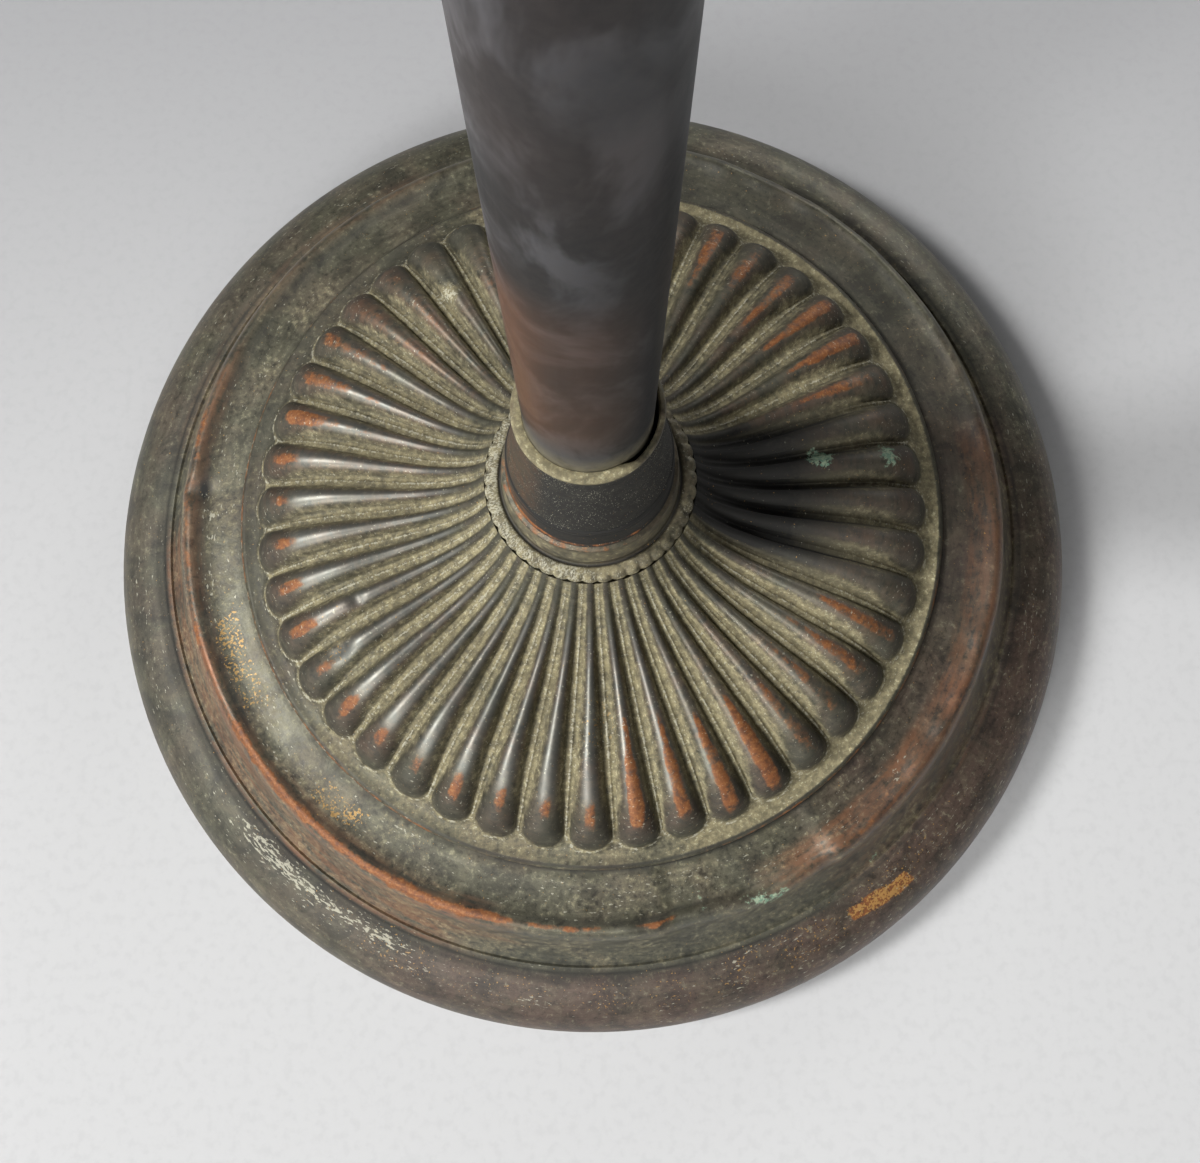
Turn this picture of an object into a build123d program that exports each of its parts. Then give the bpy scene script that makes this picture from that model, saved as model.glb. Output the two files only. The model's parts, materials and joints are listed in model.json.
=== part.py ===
from build123d import *
import os

# Torchiere floor lamp: weighted gadrooned base, two-piece tubular pole, turn switch and spun uplight bowl.
#
# Frame: origin at the centre of the footprint on the floor, +Z up, front of the lamp towards -Y. Millimetres.
# Turned pieces are drawn as outlines of (radius, height) on the XZ plane and revolved about Z.

# ---------------------------------------------------------------- driving dimensions
SHEET = 1.2                  # wall of the spun base shell
BASE_RADIUS = 143.0          # widest point of the base
EQUATOR = 10.3               # height of that widest point
ROLL = 19.4                  # radius of the rounded outer roll
TUCK = 8.1                   # radius of the small roll below the widest point
LIP_HEIGHT = 2.2             # clearance of the shell's lower edge above the floor
PLATEAU = 50.4               # height of the flat ring that carries the gadrooned disc

DISC_RADIUS = 96.8           # outer edge of the gadrooned disc
FLUTES = 44                  # gadroons around the disc
FLUTE_START = -2.2           # angle of the first gadroon from the front, in degrees
NECK_RADIUS = 26.7           # scalloped ring at the top of the disc
NECK_HEIGHT = 88.5           # top face of that ring
COLLAR_FOOT = 100.7          # height of the collar's foot
COLLAR_LIP = 143.0           # height of the collar's lip
FOOT_RADIUS = 21.0
LIP_RADIUS = 16.3

POLE_RADIUS = 14.0
POLE_WALL = 1.4
POLE_FOOT = 112.0            # where the lower tube seats in the collar
JOINT_HEIGHT = 800.0         # screwed joint between the two tubes
POLE_TOP = 1474.0
PIPE_RADIUS = 4.9            # threaded lamp pipe
PIPE_BORE = 3.4
THREAD_GAP = 0.05            # between the pipe and what screws onto it

CUP_FOOT = 1496.0            # switch cup below the bowl
CUP_TOP = 1548.0
CUP_RADIUS = 32.0
SWITCH_HEIGHT = 1522.0       # axis of the turn switch, pointing to the front
BOWL_FLOOR = 1566.0          # underside of the bowl's flat centre
BOWL_RADIUS = 203.0
BOWL_RIM = 1722.0            # centre of the rolled rim
BOWL_FLAT = 32.0             # radius of the flat centre
BOWL_WALL = 1.0
RIM_BEAD = 2.8               # radius of the rolled rim

SOCKET_FOOT = 1576.0
SOCKET_RADIUS = 19.5
SHELL_FOOT = 1598.0          # where the socket's shell starts above its cap
SHELL_TOP = 1640.0
BULB_TIP = 1613.0            # lowest point of the bulb when screwed home
BULB_TOP = 1719.0
BULB_RADIUS = 30.0
CAP_RADIUS = 13.0            # medium screw cap

CORD_BORE = 3.6              # radius of the bore in the cord bushing
CORD_HEIGHT = 11.0           # height of the cord inlet at the back of the base

PITCH = 360.0 / FLUTES


def section(*points):
    """Closed straight-sided outline of a turned piece, as (radius, height) points."""
    with BuildSketch(Plane.XZ, mode=Mode.PRIVATE) as outline:
        with BuildLine():
            Polyline(*points, close=True)
        make_face()
    return outline.sketch


def block(r_in, r_out, low, high):
    """Rectangular outline of a plain ring."""
    return section((r_in, low), (r_out, low), (r_out, high), (r_in, high))


os.makedirs("parts", exist_ok=True)
made = {}


def keep(name, built):
    """Labels a finished piece and writes its STEP file."""
    built.part.label = name
    made[name] = built.part
    export_step(built.part, f"parts/{name}.step")


# ---------------------------------------------------------------- base
# Spun shell: tucked lower edge, outer roll, crease, coved step, bead ridge and plateau.
with BuildPart() as base_shell:
    with BuildSketch(Plane.XZ):
        with BuildLine():
            tuck_x = BASE_RADIUS - TUCK
            roll_x = BASE_RADIUS - ROLL
            Line((tuck_x - 3.0, LIP_HEIGHT), (tuck_x, LIP_HEIGHT))
            RadiusArc((tuck_x, LIP_HEIGHT), (BASE_RADIUS, EQUATOR), -TUCK)
            RadiusArc((BASE_RADIUS, EQUATOR), (roll_x, EQUATOR + ROLL), -ROLL)
            Line((roll_x, EQUATOR + ROLL), (122.6, 29.1))
            ThreePointArc((122.6, 29.1), (118.8, 35.4), (116.2, 42.6))
            ThreePointArc((116.2, 42.6), (115.2, 46.0), (113.6, 48.9))
            ThreePointArc((113.6, 48.9), (112.0, 49.9), (110.2, 49.1))
            ThreePointArc((110.2, 49.1), (104.0, 49.0), (98.5, PLATEAU))
            Line((98.5, PLATEAU), (88.0, PLATEAU))
            offset(amount=SHEET, side=Side.LEFT, closed=True)
        make_face()
    revolve(axis=Axis.Z)
    with BuildSketch(Plane(origin=(0, 0, CORD_HEIGHT), z_dir=(0, 1, 0))):
        Circle(5.0)
    extrude(amount=BASE_RADIUS + 10, mode=Mode.SUBTRACT)
keep("base_shell", base_shell)

# One gadroon, lofted through half ellipses along the front radius: (radius, crest height, width, depth).
GADROON = [
    (94.6, 54.6, 3.6, 1.2),
    (93.2, 56.9, 7.4, 3.6),
    (90.0, 60.2, 10.6, 5.6),
    (85.0, 63.9, 11.2, 6.2),
    (76.0, 68.0, 10.2, 5.6),
    (62.0, 70.6, 8.3, 4.6),
    (48.0, 72.0, 6.4, 4.2),
    (37.0, 75.6, 4.9, 4.2),
    (30.5, 81.2, 4.0, 4.6),
    (27.4, 86.4, 3.5, 5.0),
]
with BuildPart() as gadroon:
    for radius, crest, width, depth in GADROON:
        with BuildSketch(Plane(origin=(0, -radius, crest - depth), x_dir=(1, 0, 0), z_dir=(0, -1, 0))):
            with BuildLine():
                EllipticalCenterArc((0, 0), width / 2, depth, start_angle=0, arc_size=180)
                Line((-width / 2, 0), (width / 2, 0))
            make_face()
    loft()

# Embossed disc let into the plateau: raised edge, dusty margin, ogee rise to the neck.
OGEE = [(92.5, 53.9), (86.0, 58.2), (80.0, 62.2), (72.0, 65.6), (62.0, 67.4), (52.0, 68.6),
        (43.0, 70.6), (35.0, 75.2), (30.0, 80.6), (NECK_RADIUS, 86.6)]
with BuildPart() as fluted_disc:
    with BuildSketch(Plane.XZ):
        with BuildLine():
            Spline(*OGEE)
            Polyline(OGEE[-1], (23.4, 86.6), (23.4, 84.6))
            Spline(*[(r - 2.0, z - 2.4) for r, z in reversed(OGEE[1:-1])])
            Polyline((84.0, 55.8), (88.6, PLATEAU), (DISC_RADIUS, PLATEAU), (DISC_RADIUS, 53.6),
                     (DISC_RADIUS - 0.5, 54.1), (DISC_RADIUS - 1.6, 54.1), (DISC_RADIUS - 2.0, 53.9), OGEE[0])
            Line((23.4, 84.6), (28.0, 78.2))
        make_face()
    revolve(axis=Axis.Z)
    with PolarLocations(0, FLUTES, start_angle=FLUTE_START):
        add(gadroon.part)
keep("fluted_disc", fluted_disc)

# Ring that covers the gadroons' inner ends: lobed outer edge and a short sleeve up to the collar.
with BuildPart() as neck_ring:
    revolve(section((11.0, 86.6), (NECK_RADIUS - 0.6, 86.6), (NECK_RADIUS, 87.2), (NECK_RADIUS - 0.2, 88.0),
                    (NECK_RADIUS - 1.0, NECK_HEIGHT), (23.2, 89.3), (22.6, 88.7), (22.2, 89.0), (22.0, 93.6),
                    (21.4, COLLAR_FOOT - 1.0), (11.0, COLLAR_FOOT - 1.0)), axis=Axis.Z)
    with BuildSketch(Plane.XY.offset(86.0)):
        with PolarLocations(NECK_RADIUS + 1.35, FLUTES, start_angle=FLUTE_START - 90 + PITCH / 2):
            Circle(1.5)
    extrude(amount=4.0, mode=Mode.SUBTRACT)
keep("neck_ring", neck_ring)

# Turned collar that the pole stands in: foot edge, drum with two grooves, taper and rounded lip.
with BuildPart() as pole_collar:
    revolve(section((POLE_RADIUS - 1.0, COLLAR_FOOT - 1.0), (FOOT_RADIUS, COLLAR_FOOT - 1.0),
                    (FOOT_RADIUS, COLLAR_FOOT), (FOOT_RADIUS - 0.5, COLLAR_FOOT + 0.4),
                    (20.0, 108.6), (19.6, 109.0), (19.9, 109.5), (19.5, 111.0), (19.1, 111.4), (19.3, 111.9),
                    (17.4, 127.0), (16.6, 137.6), (16.1, 139.4), (LIP_RADIUS, 140.6), (LIP_RADIUS, 142.2),
                    (LIP_RADIUS - 0.5, COLLAR_LIP), (LIP_RADIUS - 1.2, COLLAR_LIP), (15.0, 142.4),
                    (15.0, 134.0), (POLE_RADIUS, 133.0), (POLE_RADIUS, POLE_FOOT),
                    (POLE_RADIUS - 1.0, POLE_FOOT)), axis=Axis.Z)
keep("pole_collar", pole_collar)

# Cast-iron weight, stepped to follow the shell, with a hub up to the neck and a cord channel to the back.
WEIGHT_FOOT = 3.0
HUB_BORE = 5.4
RECESS_RADIUS = 26.0
RECESS_TOP = 16.0
with BuildPart() as base_weight:
    revolve(section((HUB_BORE, WEIGHT_FOOT), (113.0, WEIGHT_FOOT), (113.0, 17.0), (106.0, 25.0), (60.0, 27.0),
                    (30.0, 30.0), (20.0, 38.0), (20.0, 84.6),
                    (23.0, 84.6), (23.0, 86.6), (HUB_BORE, 86.6)), axis=Axis.Z)
    with BuildSketch(Plane.XY.offset(WEIGHT_FOOT)):
        Circle(RECESS_RADIUS)
        with Locations((0, 60)):
            Rectangle(12, 120)
    extrude(amount=RECESS_TOP - WEIGHT_FOOT, mode=Mode.SUBTRACT)
keep("base_weight", base_weight)

with BuildPart() as felt_pad:
    revolve(block(RECESS_RADIUS + 4.0, 112.0, 0.0, WEIGHT_FOOT), axis=Axis.Z)
keep("felt_pad", felt_pad)

with BuildPart() as base_washer:
    revolve(block(PIPE_RADIUS + 0.5, 16.0, RECESS_TOP - 2.0, RECESS_TOP), axis=Axis.Z)
keep("base_washer", base_washer)

with BuildPart() as base_nut:
    with BuildSketch(Plane.XY.offset(RECESS_TOP - 9.0)):
        RegularPolygon(radius=8.0, side_count=6)
        Circle(PIPE_RADIUS + THREAD_GAP, mode=Mode.SUBTRACT)
    extrude(amount=7.0)
    chamfer(base_nut.edges().group_by(Axis.Z)[0].filter_by(GeomType.LINE), 0.6)
keep("base_nut", base_nut)


def pipe(low, high):
    """Length of threaded lamp pipe, hollow for the cord."""
    return block(PIPE_BORE, PIPE_RADIUS, low, high)


def bush(low, high):
    """Threaded plug fixed in the end of a tube."""
    return block(PIPE_RADIUS + THREAD_GAP, POLE_RADIUS - POLE_WALL, low, high)


with BuildPart() as base_pipe:
    revolve(pipe(5.0, POLE_FOOT + 11.0), axis=Axis.Z)
keep("base_pipe", base_pipe)

# Insulating bushing where the cord enters the back of the base, flanged on both sides of the sheet.
BUSHING_STEPS = [(135.4, 138.4, 6.4), (138.4, 143.0, 4.9), (143.0, 145.0, 6.4)]


def back(distance):
    """Plane facing the back on the cord inlet's axis, at this distance from the lamp's axis."""
    return Plane(origin=(0, distance, CORD_HEIGHT), x_dir=(-1, 0, 0), z_dir=(0, 1, 0))


with BuildPart() as cord_bushing:
    for near, far, radius in BUSHING_STEPS:
        with BuildSketch(back(near)):
            Circle(radius)
        extrude(amount=far - near)
    fillet(cord_bushing.edges().filter_by(GeomType.CIRCLE).sort_by(Axis.Y)[-1], 0.8)
    with BuildSketch(back(BUSHING_STEPS[0][0])):
        Circle(CORD_BORE)
    extrude(amount=10.0, mode=Mode.SUBTRACT)
keep("cord_bushing", cord_bushing)

# ---------------------------------------------------------------- pole
RING_HALF = 18.0             # half height of the ring that covers the pole joint
with BuildPart() as lower_pole_bush:
    revolve(bush(POLE_FOOT, POLE_FOOT + 12.0), axis=Axis.Z)
keep("lower_pole_bush", lower_pole_bush)

with BuildPart() as lower_pole:
    revolve(block(POLE_RADIUS - POLE_WALL, POLE_RADIUS, POLE_FOOT, JOINT_HEIGHT), axis=Axis.Z)
keep("lower_pole", lower_pole)

with BuildPart() as joint_ring:
    revolve(section((POLE_RADIUS, JOINT_HEIGHT - RING_HALF), (15.2, JOINT_HEIGHT - RING_HALF),
                    (16.0, JOINT_HEIGHT - 17.2), (16.0, JOINT_HEIGHT - 15.4), (15.3, JOINT_HEIGHT - 14.6),
                    (15.3, JOINT_HEIGHT - 6.4), (17.0, JOINT_HEIGHT - 4.6), (18.2, JOINT_HEIGHT - 2.4),
                    (18.6, JOINT_HEIGHT), (18.2, JOINT_HEIGHT + 2.4), (17.0, JOINT_HEIGHT + 4.6),
                    (15.3, JOINT_HEIGHT + 6.4), (15.3, JOINT_HEIGHT + 14.6), (16.0, JOINT_HEIGHT + 15.4),
                    (16.0, JOINT_HEIGHT + 17.2), (15.2, JOINT_HEIGHT + RING_HALF),
                    (POLE_RADIUS, JOINT_HEIGHT + RING_HALF)), axis=Axis.Z)
keep("joint_ring", joint_ring)

with BuildPart() as joint_bushes:
    revolve(bush(JOINT_HEIGHT - 12.0, JOINT_HEIGHT), axis=Axis.Z)
    revolve(bush(JOINT_HEIGHT + 0.2, JOINT_HEIGHT + 12.2), axis=Axis.Z)
keep("joint_bushes", joint_bushes)

with BuildPart() as joint_nipple:
    revolve(pipe(JOINT_HEIGHT - 11.0, JOINT_HEIGHT + 11.0), axis=Axis.Z)
keep("joint_nipple", joint_nipple)

with BuildPart() as upper_pole:
    revolve(block(POLE_RADIUS - POLE_WALL, POLE_RADIUS, JOINT_HEIGHT + 0.2, POLE_TOP), axis=Axis.Z)
keep("upper_pole", upper_pole)

with BuildPart() as upper_pole_bush:
    revolve(bush(POLE_TOP - 12.0, POLE_TOP), axis=Axis.Z)
keep("upper_pole_bush", upper_pole_bush)

# ---------------------------------------------------------------- head
# Collar at the top of the pole, the lower one upside down with a shorter taper.
with BuildPart() as top_collar:
    revolve(section((POLE_RADIUS, POLE_TOP - 18.0), (LIP_RADIUS - 0.6, POLE_TOP - 18.0),
                    (LIP_RADIUS, POLE_TOP - 17.0), (LIP_RADIUS, POLE_TOP - 15.4), (15.8, POLE_TOP - 14.2),
                    (16.8, POLE_TOP - 2.0), (18.8, POLE_TOP + 9.4), (18.4, POLE_TOP + 9.8),
                    (19.0, POLE_TOP + 10.4), (19.8, POLE_TOP + 19.0), (FOOT_RADIUS, POLE_TOP + 20.0),
                    (FOOT_RADIUS, CUP_FOOT), (HUB_BORE, CUP_FOOT), (HUB_BORE, POLE_TOP),
                    (POLE_RADIUS, POLE_TOP)), axis=Axis.Z)
keep("top_collar", top_collar)

HEAD_PIPE_TOP = SOCKET_FOOT + 9.0
with BuildPart() as head_pipe:
    revolve(pipe(POLE_TOP - 11.0, HEAD_PIPE_TOP), axis=Axis.Z)
keep("head_pipe", head_pipe)

# Spun cup that houses the turn switch, open at the top under the fitter.
with BuildPart() as switch_cup:
    with BuildSketch(Plane.XZ):
        with BuildLine():
            Line((HUB_BORE, CUP_FOOT), (22.0, CUP_FOOT))
            ThreePointArc((22.0, CUP_FOOT), (29.4, CUP_FOOT + 12.0), (CUP_RADIUS, SWITCH_HEIGHT - 6.0))
            Line((CUP_RADIUS, SWITCH_HEIGHT - 6.0), (CUP_RADIUS, SWITCH_HEIGHT + 6.0))
            ThreePointArc((CUP_RADIUS, SWITCH_HEIGHT + 6.0), (30.0, CUP_TOP - 9.0), (28.0, CUP_TOP - 4.0))
            Line((28.0, CUP_TOP - 4.0), (28.0, CUP_TOP))
            offset(amount=SHEET, side=Side.LEFT, closed=True)
        make_face()
    revolve(axis=Axis.Z)
    with BuildSketch(Plane(origin=(0, 0, SWITCH_HEIGHT), z_dir=(0, -1, 0))):
        Circle(5.1)
    extrude(amount=CUP_RADIUS + 10, mode=Mode.SUBTRACT)
keep("switch_cup", switch_cup)


def front(distance):
    """Plane facing the front on the switch's axis, at this distance from the lamp's axis."""
    return Plane(origin=(0, -distance, SWITCH_HEIGHT), x_dir=(1, 0, 0), z_dir=(0, -1, 0))


STEM_RADIUS = 2.0
with BuildPart() as switch_body:
    with BuildSketch(front(11.0)):
        Circle(9.5)
    extrude(amount=15.0)
    with BuildSketch(front(26.0)):
        Circle(5.0)
    extrude(amount=10.0)
    with BuildSketch(front(13.0)):
        Circle(STEM_RADIUS + THREAD_GAP)
    extrude(amount=24.0, mode=Mode.SUBTRACT)
keep("switch_body", switch_body)

with BuildPart() as switch_ring_nut:
    with BuildSketch(front(CUP_RADIUS + 0.4)):
        Circle(8.0)
        with PolarLocations(8.2, 24):
            Circle(0.5, mode=Mode.SUBTRACT)
        Circle(5.0 + THREAD_GAP, mode=Mode.SUBTRACT)
    extrude(amount=2.6)
keep("switch_ring_nut", switch_ring_nut)

with BuildPart() as switch_stem:
    with BuildSketch(front(14.0)):
        Circle(STEM_RADIUS)
    extrude(amount=31.0)
keep("switch_stem", switch_stem)

# Moulded turn knob: round skirt, fluted barrel and a flat grip.
with BuildPart() as switch_knob:
    with BuildSketch(front(38.0)):
        Circle(7.6)
        with PolarLocations(8.0, 16):
            Circle(0.8, mode=Mode.SUBTRACT)
    extrude(amount=6.0)
    with BuildSketch(front(44.0)):
        SlotOverall(17.0, 5.0)
    extrude(amount=9.0)
    fillet(switch_knob.faces().sort_by(Axis.Y)[0].edges(), 1.6)
    with BuildSketch(front(38.0)):
        Circle(STEM_RADIUS)
    extrude(amount=7.0, mode=Mode.SUBTRACT)
keep("switch_knob", switch_knob)

# Spun bowl: flat centre, round lower half, flared upper half and rolled rim.
BELLY_RADIUS = 152.0         # where the wall turns from round to flared
BELLY_HEIGHT = 1652.0
with BuildPart() as bowl:
    with BuildSketch(Plane.XZ):
        with BuildLine():
            Line((HUB_BORE, BOWL_FLOOR), (BOWL_FLAT, BOWL_FLOOR))
            belly = TangentArc((BOWL_FLAT, BOWL_FLOOR), (BELLY_RADIUS, BELLY_HEIGHT), tangent=(1, 0))
            TangentArc((BELLY_RADIUS, BELLY_HEIGHT), (BOWL_RADIUS, BOWL_RIM), tangent=belly % 1)
            offset(amount=BOWL_WALL, side=Side.LEFT, closed=True)
        make_face()
        with Locations((BOWL_RADIUS + 1.4, BOWL_RIM - 0.6)):
            Circle(RIM_BEAD)
    revolve(axis=Axis.Z)
keep("bowl", bowl)

# Cast fitter between the cup and the bowl: bead, saucer and gadrooned underside.
FITTER_RADIUS = 64.0
FITTER_FLUTES = 24
LOBE = [(59.6, 1565.6, 3.0, 1.0), (57.6, 1563.6, 7.6, 2.6), (52.0, 1560.2, 11.4, 3.4),
        (44.0, 1556.8, 9.8, 3.0), (36.0, 1553.6, 7.6, 2.4), (31.6, 1551.6, 5.6, 1.2)]
with BuildPart() as lobe:
    for radius, crest, width, depth in LOBE:
        with BuildSketch(Plane(origin=(0, -radius, crest + depth), x_dir=(1, 0, 0), z_dir=(0, -1, 0))):
            with BuildLine():
                EllipticalCenterArc((0, 0), width / 2, depth, start_angle=180, arc_size=180)
                Line((-width / 2, 0), (width / 2, 0))
            make_face()
    loft()

with BuildPart() as bowl_fitter:
    revolve(section((HUB_BORE, CUP_TOP), (30.4, CUP_TOP), (31.4, CUP_TOP + 1.0), (31.4, CUP_TOP + 2.4),
                    (30.6, CUP_TOP + 3.4), (31.0, CUP_TOP + 4.8), (44.0, CUP_TOP + 10.8),
                    (52.0, CUP_TOP + 14.4), (60.4, CUP_TOP + 18.6), (FITTER_RADIUS - 0.6, CUP_TOP + 18.8),
                    (FITTER_RADIUS, CUP_TOP + 19.4), (FITTER_RADIUS, CUP_TOP + 21.0),
                    (FITTER_RADIUS - 1.6, CUP_TOP + 20.8),
                    (46.0, BOWL_FLOOR + 0.3), (38.0, BOWL_FLOOR), (HUB_BORE, BOWL_FLOOR)), axis=Axis.Z)
    with PolarLocations(0, FITTER_FLUTES):
        add(lobe.part)
keep("bowl_fitter", bowl_fitter)

with BuildPart() as bowl_washer:
    revolve(block(PIPE_RADIUS + 0.5, 20.0, BOWL_FLOOR + BOWL_WALL, BOWL_FLOOR + BOWL_WALL + 1.6), axis=Axis.Z)
keep("bowl_washer", bowl_washer)

NUT_FOOT = BOWL_FLOOR + BOWL_WALL + 1.6
with BuildPart() as bowl_nut:
    with BuildSketch(Plane.XY.offset(NUT_FOOT)):
        RegularPolygon(radius=8.0, side_count=6)
        Circle(PIPE_RADIUS + THREAD_GAP, mode=Mode.SUBTRACT)
    extrude(amount=4.4)
keep("bowl_nut", bowl_nut)

# Socket: brass cap and shell, fibre liner, porcelain body, screw shell and contact.
with BuildPart() as socket_cap:
    revolve(section((PIPE_RADIUS + THREAD_GAP, SOCKET_FOOT), (8.0, SOCKET_FOOT), (8.0, SOCKET_FOOT + 8.0),
                    (14.0, SOCKET_FOOT + 11.0), (18.6, SOCKET_FOOT + 16.0), (SOCKET_RADIUS + 0.9, SHELL_FOOT),
                    (SOCKET_RADIUS + 0.9, SHELL_FOOT + 5.0), (SOCKET_RADIUS, SHELL_FOOT + 5.0),
                    (SOCKET_RADIUS, SHELL_FOOT), (17.8, SOCKET_FOOT + 17.0), (13.4, SOCKET_FOOT + 12.2),
                    (7.0, SOCKET_FOOT + 9.2), (PIPE_RADIUS + THREAD_GAP, SOCKET_FOOT + 9.2)), axis=Axis.Z)
keep("socket_cap", socket_cap)

with BuildPart() as socket_shell:
    revolve(section((SOCKET_RADIUS - 0.8, SHELL_FOOT), (SOCKET_RADIUS, SHELL_FOOT),
                    (SOCKET_RADIUS, SHELL_TOP - 2.4), (SOCKET_RADIUS + 0.7, SHELL_TOP - 1.6),
                    (SOCKET_RADIUS + 0.7, SHELL_TOP - 0.6), (SOCKET_RADIUS, SHELL_TOP),
                    (SOCKET_RADIUS - 0.8, SHELL_TOP)), axis=Axis.Z)
keep("socket_shell", socket_shell)

LINER_OUT = SOCKET_RADIUS - 0.8
with BuildPart() as socket_liner:
    revolve(block(LINER_OUT - 1.0, LINER_OUT, SHELL_FOOT, SHELL_TOP - 1.0), axis=Axis.Z)
keep("socket_liner", socket_liner)

SCREW_IN = CAP_RADIUS + 0.3
SCREW_OUT = SCREW_IN + 0.5
BODY_OUT = LINER_OUT - 1.1
BODY_FLOOR = BULB_TIP - 3.0
with BuildPart() as socket_body:
    revolve(section((2.0, SHELL_FOOT + 1.0), (BODY_OUT, SHELL_FOOT + 1.0), (BODY_OUT, SHELL_TOP - 3.0),
                    (SCREW_OUT, SHELL_TOP - 3.0), (SCREW_OUT, BODY_FLOOR), (2.0, BODY_FLOOR)), axis=Axis.Z)
    with BuildSketch(Plane.XY.offset(SHELL_FOOT + 1.0)):
        with Locations((12.0, 0), (-12.0, 0)):
            Circle(2.2)
    extrude(amount=4.0, mode=Mode.SUBTRACT)
keep("socket_body", socket_body)

with BuildPart() as socket_screws:
    with BuildSketch(Plane.XY.offset(SHELL_FOOT)):
        with Locations((12.0, 0), (-12.0, 0)):
            Circle(2.8)
    extrude(amount=1.0)
    with BuildSketch(Plane.XY.offset(SHELL_FOOT + 1.0)):
        with Locations((12.0, 0), (-12.0, 0)):
            Circle(2.1)
    extrude(amount=3.6)
keep("socket_screws", socket_screws)

with BuildPart() as socket_screw_shell:
    revolve(block(SCREW_IN, SCREW_OUT, BODY_FLOOR + 1.0, SHELL_TOP - 3.0), axis=Axis.Z)
keep("socket_screw_shell", socket_screw_shell)

with BuildPart() as socket_contact:
    with BuildSketch(Plane.XY.offset(BODY_FLOOR)):
        Rectangle(8.0, 5.0)
    extrude(amount=0.6)
    with BuildSketch(Plane.XY.offset(BODY_FLOOR + 0.6)):
        Rectangle(4.4, 4.4)
    extrude(amount=2.3, taper=12)
keep("socket_contact", socket_contact)

# Bulb: tip contact, glass insulator, screw cap, envelope, stem and coiled filament.
TIP_HEIGHT = 1.6
with BuildPart() as bulb_tip_contact:
    revolve(section((0, BULB_TIP), (2.6, BULB_TIP), (4.4, BULB_TIP + 0.8), (4.4, BULB_TIP + TIP_HEIGHT),
                    (0, BULB_TIP + TIP_HEIGHT)), axis=Axis.Z)
keep("bulb_tip_contact", bulb_tip_contact)

with BuildPart() as bulb_insulator:
    revolve(section((0, BULB_TIP + TIP_HEIGHT), (5.4, BULB_TIP + TIP_HEIGHT), (9.6, BULB_TIP + 4.4),
                    (0, BULB_TIP + 4.4)), axis=Axis.Z)
keep("bulb_insulator", bulb_insulator)

CAP_TOP = BULB_TIP + 26.0
with BuildPart() as bulb_cap:
    revolve(section((0, BULB_TIP + 4.6), (9.6, BULB_TIP + 4.6), (CAP_RADIUS, BULB_TIP + 8.0),
                    (CAP_RADIUS, CAP_TOP), (CAP_RADIUS - 0.4, CAP_TOP), (CAP_RADIUS - 0.4, BULB_TIP + 8.2),
                    (9.4, BULB_TIP + 5.0), (0, BULB_TIP + 5.0)), axis=Axis.Z)
keep("bulb_cap", bulb_cap)

BALL_HEIGHT = BULB_TOP - BULB_RADIUS
GLASS = 0.8
NECK = CAP_RADIUS - 0.5
with BuildPart() as bulb_glass:
    with BuildSketch(Plane.XZ):
        with BuildLine():
            Line((NECK, BULB_TIP + 12.0), (NECK, CAP_TOP + 4.0))
            Spline((NECK, CAP_TOP + 4.0), (BULB_RADIUS, BALL_HEIGHT), tangents=((0, 1), (0, 1)),
                   tangent_scalars=(1.0, 0.8))
            RadiusArc((BULB_RADIUS, BALL_HEIGHT), (0, BULB_TOP), -BULB_RADIUS)
            Line((0, BULB_TOP), (0, BULB_TOP - GLASS))
            RadiusArc((0, BULB_TOP - GLASS), (BULB_RADIUS - GLASS, BALL_HEIGHT), BULB_RADIUS - GLASS)
            Spline((BULB_RADIUS - GLASS, BALL_HEIGHT), (NECK - GLASS, CAP_TOP + 4.0),
                   tangents=((0, -1), (0, -1)), tangent_scalars=(0.8, 1.0))
            Line((NECK - GLASS, CAP_TOP + 4.0), (NECK - GLASS, BULB_TIP + 12.0))
            Line((NECK - GLASS, BULB_TIP + 12.0), (NECK, BULB_TIP + 12.0))
        make_face()
    revolve(axis=Axis.Z)
keep("bulb_glass", bulb_glass)

FILAMENT_HEIGHT = BALL_HEIGHT + 2.0
with BuildPart() as bulb_stem:
    revolve(section((0, BULB_TIP + 12.0), (NECK - GLASS - 0.1, BULB_TIP + 12.0), (6.0, BULB_TIP + 18.0),
                    (3.2, CAP_TOP + 10.0), (3.2, CAP_TOP + 18.0), (1.2, CAP_TOP + 20.0),
                    (1.2, FILAMENT_HEIGHT - 4.0), (0, FILAMENT_HEIGHT - 3.0)), axis=Axis.Z)
    for side in (-1, 1):
        with BuildSketch(Plane(origin=(side * 2.4, 0, CAP_TOP + 17.0), z_dir=(side * 11.0, 0, 34.0))):
            Circle(0.35)
        extrude(amount=FILAMENT_HEIGHT - CAP_TOP - 15.6)
keep("bulb_stem", bulb_stem)

FILAMENT_SPAN = 27.0
with BuildPart() as bulb_filament:
    with BuildSketch(Plane(origin=(-FILAMENT_SPAN / 2, 0, FILAMENT_HEIGHT + 0.7), z_dir=(1, 0, 0))):
        Circle(0.5)
    extrude(amount=FILAMENT_SPAN)
keep("bulb_filament", bulb_filament)

print(len(made), "pieces")
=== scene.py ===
"""Looks of the torchiere floor lamp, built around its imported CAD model.

Everything is in metres in the CAD's frame: the floor is z = 0, the pole is the Z axis and the front is -Y.
Azimuths are in degrees from the front, positive towards +X. Profiles are (radius, height) points in millimetres.
"""

import json
import math

import bmesh
import bpy
import numpy as np
from mathutils import Matrix, Vector


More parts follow.
